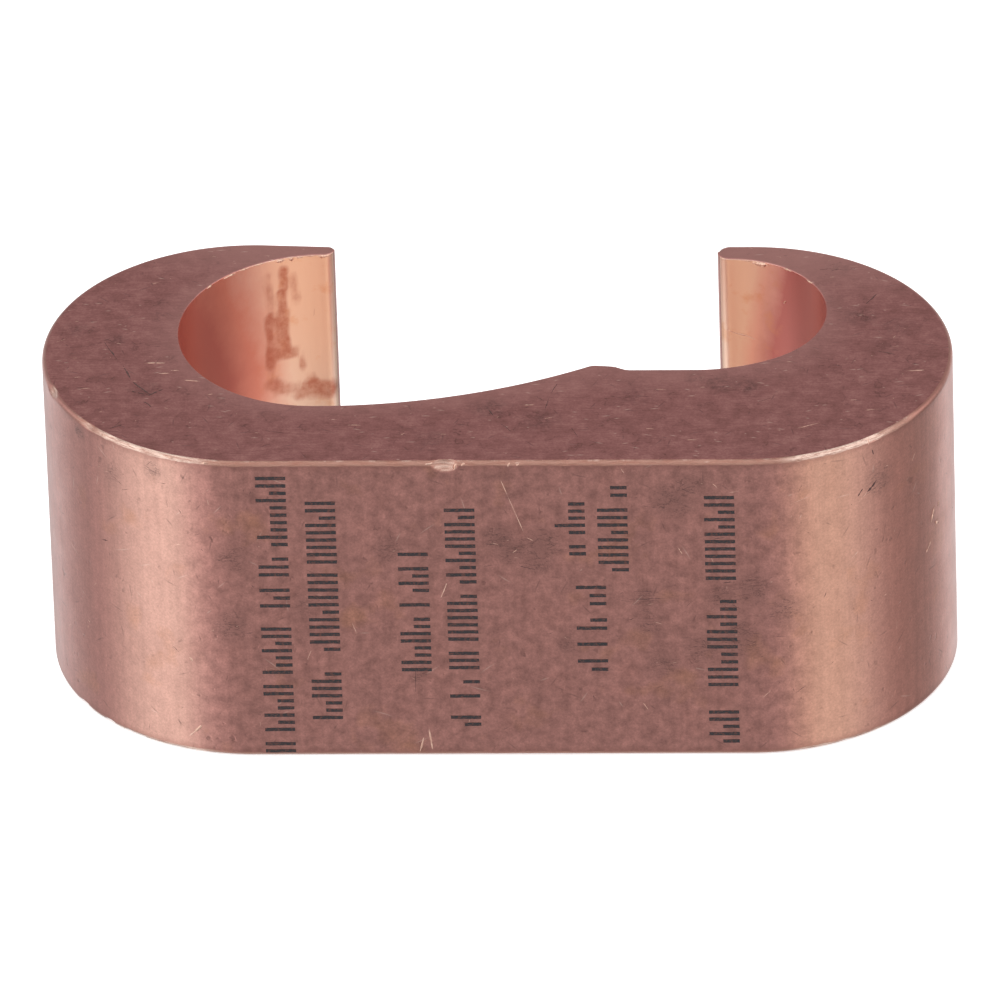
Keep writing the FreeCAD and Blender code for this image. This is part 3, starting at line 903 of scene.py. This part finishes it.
def sweepTree():
    tree, add, given = newTree("sweepSection", [
        ("Section", "Object"), ("Row Plan", "Object"), ("Nicks", "Object"), ("Smudges", "Object"),
        ("Columns", "Int"), ("Rows", "Int"), ("Crowding", "Float"),
        ("Outer Length", "Float"), ("Tip Reach", "Float"), ("Tap Tip Extra", "Float"),
        ("Top", "Float"), ("Bottom", "Float"),
        ("Wave Size", "Float"), ("Wave Depth", "Float"),
        ("Skin", "Material"), ("Groove", "Material"), ("Cut Face", "Material"),
    ])
    sides, plan, nicks, stains = [
        add("GeometryNodeObjectInfo", Object=given[name]).outputs["Geometry"]
        for name in ("Section", "Row Plan", "Nicks", "Smudges")]
    sheet = add("GeometryNodeMeshGrid", Size_X=1.0, Size_Y=1.0, Vertices_X=given["Columns"],
                Vertices_Y=given["Rows"])

    # Where each vertex of the flat sheet goes: a place along the section, and a row of the plan
    place = add("GeometryNodeInputPosition")
    split = add("ShaderNodeSeparateXYZ", Vector=place).outputs
    along = add("ShaderNodeMath", plus, split["X"], 0.5)
    turn = add("ShaderNodeMath", times, along, 2 * math.tau)
    wave = add("ShaderNodeMath", sine, turn)
    pull = add("ShaderNodeMath", times, wave, given["Crowding"])
    pull = add("ShaderNodeMath", divided, pull, 2 * math.tau)
    crowded = add("ShaderNodeMath", {"operation": "SUBTRACT", "use_clamp": True}, along, pull)
    byShare = {"mode": "FACTOR", "use_all_curves": False}
    outer, inner = [add("GeometryNodeSampleCurve", byShare, Curves=sides, Factor=crowded,
                        Curve_Index=side).outputs
                    for side in (0, 1)]
    lastRow = add("ShaderNodeMath", less, given["Rows"], 1.0)
    upShare = add("ShaderNodeMath", plus, split["Y"], 0.5)
    row = add("ShaderNodeMath", times, upShare, lastRow)
    row = add("FunctionNodeFloatToInt", {"rounding_mode": "ROUND"}, Float=row)
    planned = add("GeometryNodeSampleIndex", asVector, Geometry=plan, Value=place, Index=row)
    planned = add("ShaderNodeSeparateXYZ", Vector=planned).outputs

    # The metal is to the left of the outer side and to the right of the inner one
    inwardOuter = add("ShaderNodeVectorMath", crossed, (0, 0, 1), outer["Tangent"])
    inwardInner = add("ShaderNodeVectorMath", crossed, inner["Tangent"], (0, 0, 1))
    inward = add("ShaderNodeMix", ofVectors, planned["X"], input4=inwardOuter, input5=inwardInner)
    inset = add("ShaderNodeVectorMath", scaled, inward, Scale=planned["Y"])
    base = add("ShaderNodeMix", ofVectors, planned["X"], input4=outer["Position"],
               input5=inner["Position"])
    height = add("ShaderNodeCombineXYZ", Z=planned["Z"])
    spot = add("ShaderNodeVectorMath", plus, base, inset)
    spot = add("ShaderNodeVectorMath", plus, spot, height)

    # Kept for the materials: distance to the nearest rim, the unrolled skin, and which way a part faces
    width = add("ShaderNodeVectorMath", distance, outer["Position"], inner["Position"])
    farSide = add("ShaderNodeMath", less, 1.0, planned["X"])
    nearSide = add("ShaderNodeMath", smaller, planned["X"], farSide)
    acrossGap = add("ShaderNodeMath", times, nearSide, width)
    above = add("ShaderNodeMath", less, given["Top"], planned["Z"])
    below = add("ShaderNodeMath", less, planned["Z"], given["Bottom"])
    upGap = add("ShaderNodeMath", smaller, above, below)
    rimGap = add("ShaderNodeMath", larger, acrossGap, upGap)
    arc = add("ShaderNodeMath", times, crowded, given["Outer Length"])
    unrolled = add("ShaderNodeCombineXYZ", X=arc, Y=planned["Z"])
    # How far the skin has turned: it sets the round ends' wear and painted highlight, and where the
    # rim's wear and painted glint fade
    ahead = add("ShaderNodeSeparateXYZ", Vector=outer["Tangent"]).outputs["X"]
    turned = add("ShaderNodeMapRange", eased, ahead, *body["turnStart"])
    reached = add("ShaderNodeMapRange", eased, ahead, *body["wearAndHighlightEnd"])
    handled = add("ShaderNodeMath", times, turned, reached)
    facing = add("ShaderNodeMapRange", eased, ahead, *body["facingEnd"], To_Min=0.05)
    # How far the inner wall turns sideways, faded near the tips: it sets the grooves' painted shade
    inAhead = add("ShaderNodeSeparateXYZ", Vector=inner["Tangent"]).outputs["Y"]
    sideways = add("ShaderNodeMath", unsigned, inAhead)
    arcLeft = add("ShaderNodeMath", less, given["Outer Length"], arc)
    arcGap = add("ShaderNodeMath", smaller, arc, arcLeft)
    offTip = add("ShaderNodeMapRange", None, arcGap, *inMetres(body["wallShadeFade"]))
    sideways = add("ShaderNodeMath", times, sideways, offTip)
    thin = add("ShaderNodeMapRange", eased, width, *inMetres(body["thin"]), To_Min=0.8, To_Max=0.0)
    kept = sheet.outputs["Mesh"]
    for name, value in (("rimGap", rimGap), ("across", planned["X"]), ("handled", handled),
                        ("facing", facing), ("rounded", turned), ("sideways", sideways),
                        ("thin", thin)):
        kept = add("GeometryNodeStoreNamedAttribute", onPoints, Geometry=kept, Name=name, Value=value)
    kept = add("GeometryNodeStoreNamedAttribute", {"data_type": "FLOAT_VECTOR", "domain": "POINT"},
               Geometry=kept, Name="unrolled", Value=unrolled)
    swept = add("GeometryNodeSetPosition", Geometry=kept, Position=spot)
    closed = add("GeometryNodeMergeByDistance", Geometry=swept, Distance=body["weld"] * mm)

    # Slight waves of the drawn surface, and the nicks: shallow dishes with a crisp edge
    normal = add("GeometryNodeInputNormal")
    waveScale = add("ShaderNodeMath", divided, 1.0, given["Wave Size"])
    waves = add("ShaderNodeTexNoise", Vector=place, Scale=waveScale)
    waves = add("ShaderNodeMath", times, waves, given["Wave Depth"])
    sizes = add("GeometryNodeInputNamedAttribute", asNumber, Name="size")
    powers = add("GeometryNodeInputNamedAttribute", asNumber, Name="power")
    facings = add("GeometryNodeInputNamedAttribute", asVector, Name="facing")
    found = []
    for points in (nicks, stains):
        nearest = add("GeometryNodeSampleNearest", Geometry=points, Sample_Position=place)
        centre = add("GeometryNodeSampleIndex", asVector, Geometry=points, Value=place, Index=nearest)
        size = add("GeometryNodeSampleIndex", asNumber, Geometry=points, Value=sizes, Index=nearest)
        power = add("GeometryNodeSampleIndex", asNumber, Geometry=points, Value=powers, Index=nearest)
        away = add("ShaderNodeVectorMath", distance, place, centre)
        away = add("ShaderNodeMath", divided, away, size)
        found.append((nearest, centre, away, power))
    nearest, centre, away, power = found[0]
    towards = add("GeometryNodeSampleIndex", asVector, Geometry=nicks, Value=facings, Index=nearest)
    offset = add("ShaderNodeVectorMath", less, place, centre)
    proud = add("ShaderNodeVectorMath", {"operation": "DOT_PRODUCT"}, offset, towards)
    bowl = add("ShaderNodeMath", times, away, away)
    bowl = add("ShaderNodeMath", less, 1.0, bowl)
    cut = add("ShaderNodeMath", timesPlus, bowl, power, proud)
    cut = add("ShaderNodeMath", larger, cut, 0.0)
    back = add("ShaderNodeMath", times, cut, -1.0)
    pushed = add("ShaderNodeVectorMath", scaled, towards, Scale=back)
    press = add("ShaderNodeMath", times, waves, -1.0)
    offset = add("ShaderNodeVectorMath", scaled, normal, Scale=press)
    offset = add("ShaderNodeVectorMath", plus, offset, pushed)
    deep = add("ShaderNodeMapRange", None, cut, *inMetres(body["pressed"]))
    near = add("ShaderNodeMapRange", Value=found[1][2], From_Min=body["smudgeCore"],
               To_Min=found[1][3], To_Max=0.0)
    for name, value in (("smudge", near), ("pressed", deep)):
        closed = add("GeometryNodeStoreNamedAttribute", onPoints, Geometry=closed, Name=name,
                     Value=value)
    worn = add("GeometryNodeSetPosition", Geometry=closed, Offset=offset)

    # Skin outside, bright wall inside, sawn face where the metal looks up or down
    smooth = add("GeometryNodeSetShadeSmooth", Geometry=worn)
    whole = add("GeometryNodeRealizeInstances", Geometry=smooth)
    across = add("GeometryNodeInputNamedAttribute", asNumber, Name="across")
    inside = add("FunctionNodeCompare", isMore, across, 0.99)
    around = add("GeometryNodeInputNamedAttribute", asVector, Name="unrolled")
    around = add("ShaderNodeSeparateXYZ", Vector=around).outputs["X"]
    rest = add("ShaderNodeMath", less, given["Outer Length"], around)
    rest = add("ShaderNodeMath", less, rest, given["Tap Tip Extra"])
    toTip = add("ShaderNodeMath", smaller, around, rest)
    pastTip = add("FunctionNodeCompare", isMore, toTip, given["Tip Reach"])
    hidden = add("FunctionNodeBooleanMath", {"operation": "AND"}, inside, pastTip)
    upness = add("ShaderNodeSeparateXYZ", Vector=normal).outputs["Z"]
    upness = add("ShaderNodeMath", unsigned, upness)
    needed = add("ShaderNodeMapRange", Value=across, From_Min=0.98, From_Max=0.99, To_Min=0.96,
                 To_Max=0.4)
    facesUp = add("FunctionNodeCompare", isMore, upness, needed)
    dressed = add("GeometryNodeSetMaterial", Geometry=whole, Material=given["Skin"])
    dressed = add("GeometryNodeSetMaterial", Geometry=dressed, Selection=hidden,
                  Material=given["Groove"])
    dressed = add("GeometryNodeSetMaterial", Geometry=dressed, Selection=facesUp,
                  Material=given["Cut Face"])
    add("NodeGroupOutput", Geometry=dressed)
    return tree


def copperBody():
    chance = random.Random(body["seed"])
    height = (partHigh.z - partLow.z) / mm
    back, reach = body["setBack"], body["skinReach"]
    dents = []
    for nicks, level in ((topNicks, height - back), (bottomNicks, back)):
        for along, size, depth, lean in nicks:
            dents.append((skinPlace(along, level, back), skinFacing(along, lean), size, depth))
    for _ in range(body["dents"]):
        along, level = chance.uniform(-reach, reach), chance.uniform(1, height - 1)
        dents.append((skinPlace(along, level, back), skinFacing(along, 0),
                      chance.uniform(*body["dentSize"]), chance.uniform(*body["dentDepth"])))
    stains = [(skinPlace(a, b), size, power) for a, b, size, power in skinSmudges]
    stains += [(facePlace(a, b), size, power) for a, b, size, power in faceSmudges]
    for first, last, size, power in grooveStains:
        first, last = Vector(first), Vector(last)
        steps = math.ceil((last - first).length / body["stainStep"])
        stains += [(grooveBack(*first.lerp(last, i / steps)), size, power) for i in range(steps + 1)]
    plan = rowPlan()
    return grow("copperBody", sweepTree(), {
        "Section": helperCurve("helperSection", [outerPath, innerPath]),
        "Row Plan": helperPoints("helperRows", plan),
        "Nicks": helperPoints("helperNicks", [d[0] for d in dents], facing=[d[1] for d in dents],
                              size=[d[2] * mm for d in dents], power=[d[3] * mm for d in dents]),
        "Smudges": helperPoints("helperSmudges", [s[0] for s in stains],
                                size=[s[1] * mm for s in stains], power=[s[2] for s in stains]),
        "Columns": body["columns"], "Rows": len(plan), "Crowding": body["crowding"],
        "Outer Length": pathLength(outerPath), "Tip Reach": body["tipReach"] * mm,
        "Tap Tip Extra": body["tapTipExtra"] * mm,
        "Top": partHigh.z, "Bottom": partLow.z,
        "Wave Size": body["waveSize"] * mm, "Wave Depth": body["waveDepth"] * mm,
        "Skin": drawnCopper(), "Groove": brightCopper(), "Cut Face": sawnCopper(),
    })


copper = copperBody()


# Scratches: slivers of ploughed metal, or of dirt, that follow the surface

scratch = {
    "points": 14,
    "width": (0.04, 0.085),    # thinnest and thickest
    "fineWidth": (0.02, 0.05),
    "bow": 0.025,              # how far a scratch bends, as a share of its length
    "sunk": 0.35,              # share of a sliver's half width by which it lies under the surface
    "swayScale": 2500.0,       # waves to a metre in a sliver's path, and in its width
    "unevenScale": 5000.0,
    "endWidth": 0.06,          # a sliver's width at its ends, as a share of the most
    "extra": 90,               # small random scratches besides the ones above
    "ends": ((-17, 3), (18, 4)),    # where the skin's round ends have more of them, and how spread
    "shortest": 0.12,
    "longer": (0.9, 0.7),      # the most that chance adds to the length, on the skin and the face
    "scribble": 5,             # fine dark marks to each millimetre of a smudge's size
    "brightScribble": 0.15,    # and as a share of these, bright ones
    "brightWobble": 0.03,
    "darkWobble": 0.1,
    "burrPoints": 30,
    "burrWobble": 0.1,
    "ploughed": ("#C48F7C", "#F2D0BE"),    # clean copper, laid bare
    "torn": ("#D7A48F", "#F6D6C2"),        # turned up as a burr, and fresher
    "dirt": ("#2F1F1E", "#64433E"),        # packed into a hairline: nearly black, without shine
    "seed": 3,
}


def sliverTree():
    tree, add, given = newTree("ploughedSlivers", [
        ("Lines", "Object"), ("Surface", "Object"), ("Points", "Int"), ("Wobble", "Float"),
        ("Sunk", "Float"), ("Low", "Vector"), ("High", "Vector"), ("Material", "Material"),
    ])
    lines, surface = [add("GeometryNodeObjectInfo", Object=given[name]).outputs["Geometry"]
                      for name in ("Lines", "Surface")]
    even = add("GeometryNodeResampleCurve", Curve=lines, Count=given["Points"])
    place = add("GeometryNodeInputPosition")
    sway = add("ShaderNodeTexNoise", Vector=place, Scale=scratch["swayScale"]).outputs[1]
    sway = add("ShaderNodeVectorMath", less, sway, (0.5,) * 3)
    sway = add("ShaderNodeVectorMath", scaled, sway, Scale=given["Wobble"])
    swayed = add("GeometryNodeSetPosition", Geometry=even, Offset=sway)
    touch = add("GeometryNodeProximity", Geometry=surface).outputs["Position"]
    facing = add("GeometryNodeSampleNearestSurface", asVector, Mesh=surface,
                 Value=add("GeometryNodeInputNormal"))
    width = add("GeometryNodeInputRadius")
    under = add("ShaderNodeMath", times, width, given["Sunk"])
    under = add("ShaderNodeMath", times, under, -1.0)
    under = add("ShaderNodeVectorMath", scaled, facing, Scale=under)
    laid = add("GeometryNodeSetPosition", Geometry=swayed, Position=touch, Offset=under)

    # Each one tapers at both ends and is uneven between them
    share = add("GeometryNodeSplineParameter").outputs["Factor"]
    arch = add("ShaderNodeMath", times, share, math.pi)
    arch = add("ShaderNodeMath", sine, arch)
    uneven = add("ShaderNodeTexNoise", Vector=place, Scale=scratch["unevenScale"], Detail=1.0)
    uneven = add("ShaderNodeMapRange", Value=uneven, From_Min=0.3, From_Max=0.7, To_Min=0.3)
    taper = add("ShaderNodeMath", timesPlus, arch, uneven, scratch["endWidth"])
    taper = add("ShaderNodeMath", times, taper, width)
    rod = add("GeometryNodeCurvePrimitiveCircle", Resolution=5, Radius=1.0)
    made = add("GeometryNodeCurveToMesh", Curve=laid, Profile_Curve=rod.outputs["Curve"], Scale=taper,
               Fill_Caps=True)

    # Nothing stands outside the part's own box
    held = add("ShaderNodeVectorMath", larger, place, given["Low"])
    held = add("ShaderNodeVectorMath", smaller, held, given["High"])
    made = add("GeometryNodeSetPosition", Geometry=made, Position=held)
    whole = add("GeometryNodeRealizeInstances", Geometry=made)
    dressed = add("GeometryNodeSetMaterial", Geometry=whole, Material=given["Material"])
    add("NodeGroupOutput", Geometry=dressed)
    return tree


def strokePath(placeOf, first, second, angle, length, bend):
    # Five points along a scratch, slightly bowed
    turn = math.radians(angle)
    path = []
    for i in range(-2, 3):
        ahead = length * i / 4
        aside = bend * length * (1 - (i / 2) ** 2)
        path.append(placeOf(first + ahead * math.cos(turn) - aside * math.sin(turn),
                            second + ahead * math.sin(turn) + aside * math.cos(turn)))
    return path


def burrPath(x, length, thickness):
    # Along the back rim of a groove, hanging over its edge
    height = (partHigh.z - partLow.z) / mm - thickness / 2
    return [grooveBack(x + length * i / 4, height) for i in range(-2, 3)]


def randomMarks(onSkin, onFace, chance):
    # Fine scratches: over the skin, with more where the ends turn, and between the face's rims
    height, reach = (partHigh.z - partLow.z) / mm, body["skinReach"]
    left, right = scratch["ends"]
    paths = []
    for _ in range(onSkin):
        along = chance.choice((chance.gauss(*left), chance.gauss(*right), chance.uniform(-reach, reach)))
        mark = (max(-reach, min(reach, along)), chance.uniform(1, height - 1), chance.uniform(-90, 90),
                scratch["shortest"] + scratch["longer"][0] * chance.random() ** 2)
        paths.append(strokePath(skinPlace, *mark, chance.uniform(-scratch["bow"], scratch["bow"])))
    for _ in range(onFace):
        outside = chance.choice(outerPath)
        inside = min(innerPath, key=lambda p: (p - outside).length)
        spot = outside.lerp(inside, chance.uniform(0.15, 0.85)) / mm
        mark = (spot.x, spot.y, chance.gauss(0, 14),
                scratch["shortest"] + scratch["longer"][1] * chance.random() ** 2)
        paths.append(strokePath(facePlace, *mark, chance.uniform(-scratch["bow"], scratch["bow"])))
    return paths


def scribbles(share, chance):
    # Short marks in and round the smudges, nearly level
    paths = []
    for placeOf, smudges in ((skinPlace, skinSmudges), (facePlace, faceSmudges)):
        for first, second, size, power in smudges:
            for _ in range(round(scratch["scribble"] * share * size)):
                spot = (first + chance.gauss(0, size / 2), second + chance.gauss(0, size / 3))
                mark = (chance.gauss(0, 18), 0.2 + 1.1 * chance.random() ** 2)
                paths.append(strokePath(placeOf, *spot, *mark, chance.uniform(-0.1, 0.1)))
    return paths


def slivers(name, marked, fine, material, wobble):
    paths = [path for path, width in marked] + fine
    chance = random.Random(len(paths))
    widths = [(width or chance.uniform(*scratch["width"])) * mm for path, width in marked]
    widths += [chance.uniform(*scratch["fineWidth"]) * mm for _ in fine]
    return grow(name, sliverTree(), {
        "Lines": helperCurve("helper" + name, paths, widths), "Surface": copper,
        "Points": scratch["points"], "Wobble": wobble * mm, "Sunk": scratch["sunk"],
        "Low": partLow, "High": partHigh, "Material": material,
    })


def markPieces():
    chance = random.Random(scratch["seed"])

    def listed(*groups):
        paths = []
        for placeOf, found in groups:
            for mark in found:
                bend = chance.uniform(-scratch["bow"], scratch["bow"])
                width = mark[4] if len(mark) > 4 else None
                paths.append((strokePath(placeOf, *mark[:4], bend), width))
        return paths

    extra = scratch["extra"]
    clean = {"Metallic": 1.0, "Roughness": 0.35}
    bare = fineTone("ploughedCopper", *scratch["ploughed"], {"Scale": 3.0}, **clean)
    torn = fineTone("tornCopper", *scratch["torn"], {"Scale": 3.0}, **clean)
    dirt = fineTone("packedDirt", *scratch["dirt"], {"Scale": 6.0, "Detail": 3.0}, Roughness=0.8)
    large = listed((skinPlace, skinScratches), (facePlace, faceScratches))
    small = randomMarks(extra // 2, extra // 2, chance) + scribbles(scratch["brightScribble"], chance)
    bright = slivers("brightScratches", large, small, bare, scratch["brightWobble"])
    large = listed((skinPlace, skinCracks), (facePlace, faceCracks))
    small = randomMarks(extra // 2, extra // 3, chance) + scribbles(1, chance)
    dark = slivers("darkHairlines", large, small, dirt, scratch["darkWobble"])
    lifted = [(burrPath(*burr), burr[2]) for burr in burrs]
    lifted += [(strokePath(grooveBack, *mark[:4], 0), mark[4]) for mark in grooveScratches]
    paths, widths = zip(*lifted)
    crumbs = grow("rimBurrs", sliverTree(), {
        "Lines": helperCurve("helperBurrs", paths, [width * mm for width in widths]),
        "Surface": copper, "Points": scratch["burrPoints"], "Wobble": scratch["burrWobble"] * mm,
        "Sunk": 0.0, "Low": partLow, "High": partHigh, "Material": torn,
    })
    return [bright, dark, crumbs]


# Ink: rows of plain ticks across the front

def tickTree():
    tree, add, given = newTree("inkTicks", [
        ("Rows", "Object"), ("Surface", "Object"), ("Tall", "Float"), ("Stroke", "Float"),
        ("Pitch", "Float"), ("Film", "Float"), ("Skipped", "Float"), ("Seed", "Int"),
        ("Material", "Material"),
    ])
    rows, surface = [add("GeometryNodeObjectInfo", Object=given[name]).outputs["Geometry"]
                     for name in ("Rows", "Surface")]
    spots = add("GeometryNodeResampleCurve", {"mode": "LENGTH"}, Curve=rows, Length=given["Pitch"])
    spots = add("GeometryNodeCurveToPoints", {"mode": "EVALUATED"}, Curve=spots)
    shown = add("FunctionNodeRandomValue", asNumber, Seed=given["Seed"])
    shown = add("FunctionNodeCompare", isMore, shown, given["Skipped"])
    otherSeed = add("ShaderNodeMath", plus, given["Seed"], 1.0)
    pick = add("FunctionNodeRandomValue", asNumber, Seed=otherSeed)
    short = add("FunctionNodeCompare", isLess, pick, ink["short"])
    reach = add("ShaderNodeMapRange", Value=short, To_Min=1.0, To_Max=ink["shortLength"])
    size = add("ShaderNodeCombineXYZ", X=reach, Y=1.0, Z=1.0)
    block = add("ShaderNodeCombineXYZ", X=given["Tall"], Y=given["Film"], Z=given["Stroke"])
    bar = add("GeometryNodeMeshCube", Size=block, Vertices_X=9, Vertices_Y=2,
              Vertices_Z=3).outputs["Mesh"]
    half = add("ShaderNodeMath", times, given["Tall"], -0.5)
    shift = add("ShaderNodeCombineXYZ", X=half)
    bar = add("GeometryNodeTransform", Geometry=bar, Translation=shift)
    ticks = add("GeometryNodeInstanceOnPoints", Points=spots, Selection=shown, Instance=bar, Scale=size)
    ticks = add("GeometryNodeRealizeInstances", Geometry=ticks)

    # Every vertex goes to the skin behind it; those of the outer face stand a film's thickness proud
    place = add("GeometryNodeInputPosition")
    wobble = add("ShaderNodeTexNoise", Vector=place, Scale=ink["wobbleScale"]).outputs[1]
    wobble = add("ShaderNodeVectorMath", less, wobble, (0.5,) * 3)
    wobble = add("ShaderNodeVectorMath", times, wobble, (ink["wobble"] * mm, 0, ink["wobble"] * mm))
    axes = add("ShaderNodeSeparateXYZ", Vector=place).outputs
    away = add("ShaderNodeCombineXYZ", X=axes["X"], Y=-0.05, Z=axes["Z"])
    away = add("ShaderNodeVectorMath", plus, away, wobble)
    hit = add("GeometryNodeRaycast", Target_Geometry=surface, Source_Position=away,
              Ray_Direction=(0, 1, 0), Ray_Length=0.1).outputs["Hit Position"]
    middle = add("ShaderNodeSeparateXYZ", Vector=add("GeometryNodeInputNormal")).outputs["Y"]
    proud = add("FunctionNodeCompare", isLess, middle, 0.0)
    lift = add("ShaderNodeMath", times, proud, given["Film"])
    lift = add("ShaderNodeMath", times, lift, -1.0)
    lift = add("ShaderNodeCombineXYZ", Y=lift)
    laid = add("GeometryNodeSetPosition", Geometry=ticks, Position=hit, Offset=lift)
    whole = add("GeometryNodeRealizeInstances", Geometry=laid)
    dressed = add("GeometryNodeSetMaterial", Geometry=whole, Material=given["Material"])
    add("NodeGroupOutput", Geometry=dressed)
    return tree


def inkPiece():
    rows = [[Vector((x * mm, partLow.y, z * mm)) for z in ends] for x, *ends in ink["rows"]]
    return grow("inkTicks", tickTree(), {
        "Rows": helperCurve("helperInk", rows), "Surface": copper, "Tall": ink["tall"] * mm,
        "Stroke": ink["stroke"] * mm, "Pitch": ink["pitch"] * mm, "Film": ink["film"] * mm,
        "Skipped": ink["skipped"], "Seed": ink["seed"], "Material": printedInk(),
    })


ticks = inkPiece()
marks = markPieces()

for piece in (copper, ticks, *marks):
    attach(piece, "root")
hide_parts("connector_body")
print("every piece rides on the root")


# Camera, floor and light

camera = {
    "elevation": 32.5,
    "turn": 3.09,              # to the right of straight ahead
    "roll": -1.86,
    "distance": 1047.6,
    "lens": 648.0,
    "aimShift": (-0.09, -0.14),    # the aim lies this far right of and above the part's centre
}


def placeCamera():
    data = bpy.data.cameras.new("camera")
    data.lens = camera["lens"]
    data.sensor_width = 36
    data.clip_start, data.clip_end = 0.05, 10
    made = addObject("camera", data)
    up, turn, roll = (math.radians(camera[k]) for k in ("elevation", "turn", "roll"))
    turned = Matrix.Rotation(turn, 3, "Z") @ Matrix.Rotation(math.pi / 2 - up, 3, "X")
    turned = turned @ Matrix.Rotation(roll, 3, "Z")
    centre = (partLow + partHigh) / 2
    right, over = camera["aimShift"]
    offset = Vector((right, over, camera["distance"])) * mm
    made.matrix_world = Matrix.Translation(centre + turned @ offset) @ turned.to_4x4()
    bpy.context.scene.camera = made


studio = {
    "floorSize": 3.0,          # metres
    "floorGlow": 0.5,          # lifts the paper to white for the camera only
    # Level of what stands round the part, by azimuth: 0 is in front, 90 is to the right
    "below": [(-180, 1.46), (-166, 0.62), (-145, 1.06), (-132, 1.02), (-116, 0.62), (-104, 0.58),
              (-90, 0.72), (-70, 1.14), (-54, 1.38), (-38, 1.25), (-14, 0.5), (6, 0.51), (34, 1.02),
              (50, 1.05), (66, 0.9), (88, 0.5), (112, 0.41), (130, 0.6), (145, 1.24), (162, 0.78),
              (180, 1.46)],
    "above": [(-180, 0.5), (-135, 0.55), (-95, 1.5), (-35, 1.45), (-10, 0.66), (10, 0.66), (35, 1.45),
              (95, 1.5), (135, 0.55), (180, 0.5)],
    "horizon": (-0.15, 0.25),  # heights of a direction between which the upper ring takes over
    "softboxPlace": (-0.2, -0.25, 0.9),    # metres from the part
    "softboxSize": 0.7,
    "softboxWatts": 3.0,
}


def layFloor():
    mesh = bpy.data.meshes.new("floor")
    reach = studio["floorSize"] / 2
    corners = [(-reach, -reach), (reach, -reach), (reach, reach), (-reach, reach)]
    mesh.from_pydata([(x, y, partLow.z) for x, y in corners], [], [(0, 1, 2, 3)])
    floor = addObject("floor", mesh)
    floor.visible_glossy = False
    material = bpy.data.materials.new("whitePaper")
    add = emptyTree(material)
    paper = add("ShaderNodeBsdfDiffuse", Color="#F2F2F2")
    glow = add("ShaderNodeEmission", Strength=studio["floorGlow"])
    seen = add("ShaderNodeLightPath").outputs["Is Camera Ray"]
    both = add("ShaderNodeAddShader", {}, paper, glow)
    shown = add("ShaderNodeMixShader", Fac=seen, input1=paper, input2=both)
    add("ShaderNodeOutputMaterial", Surface=shown)
    mesh.materials.append(material)


def lightStudio():
    world = bpy.data.worlds.new("studio")
    bpy.context.scene.world = world
    add = emptyTree(world)
    towards = add("ShaderNodeTexCoord").outputs["Generated"]
    split = add("ShaderNodeSeparateXYZ", Vector=towards).outputs
    front = add("ShaderNodeMath", times, split["Y"], -1.0)
    turn = add("ShaderNodeMath", {"operation": "ARCTAN2"}, split["X"], front)
    share = add("ShaderNodeMath", timesPlus, turn, 1 / math.tau, 0.5)
    rings = []
    for stops in (studio["below"], studio["above"]):
        ring = add("ShaderNodeValToRGB", Fac=share)
        ring.color_ramp.interpolation = "EASE"
        setStops(ring, [(azimuth / 360 + 0.5, (level, level, level, 1)) for azimuth, level in stops])
        rings.append(ring)
    overhead = add("ShaderNodeMapRange", eased, split["Z"], *studio["horizon"])
    mixed = add("ShaderNodeMix", inColour, overhead, input6=rings[0], input7=rings[1])
    around = add("ShaderNodeBackground", Color=mixed, Strength=1.0)
    white = add("ShaderNodeBackground", Color=(1, 1, 1, 1), Strength=1.0)
    seen = add("ShaderNodeLightPath").outputs["Is Camera Ray"]
    shown = add("ShaderNodeMixShader", Fac=seen, input1=around, input2=white)
    add("ShaderNodeOutputWorld", Surface=shown)

    lamp = bpy.data.lights.new("softbox", "AREA")
    lamp.size = studio["softboxSize"]
    lamp.energy = studio["softboxWatts"]
    box = addObject("softbox", lamp)
    box.location = studio["softboxPlace"]
    box.rotation_euler = (-box.location).to_track_quat("-Z", "Y").to_euler()
    box.visible_glossy = False


placeCamera()
layFloor()
lightStudio()
bpy.context.scene.view_settings.view_transform = "Standard"
print("camera, floor and studio light are set")
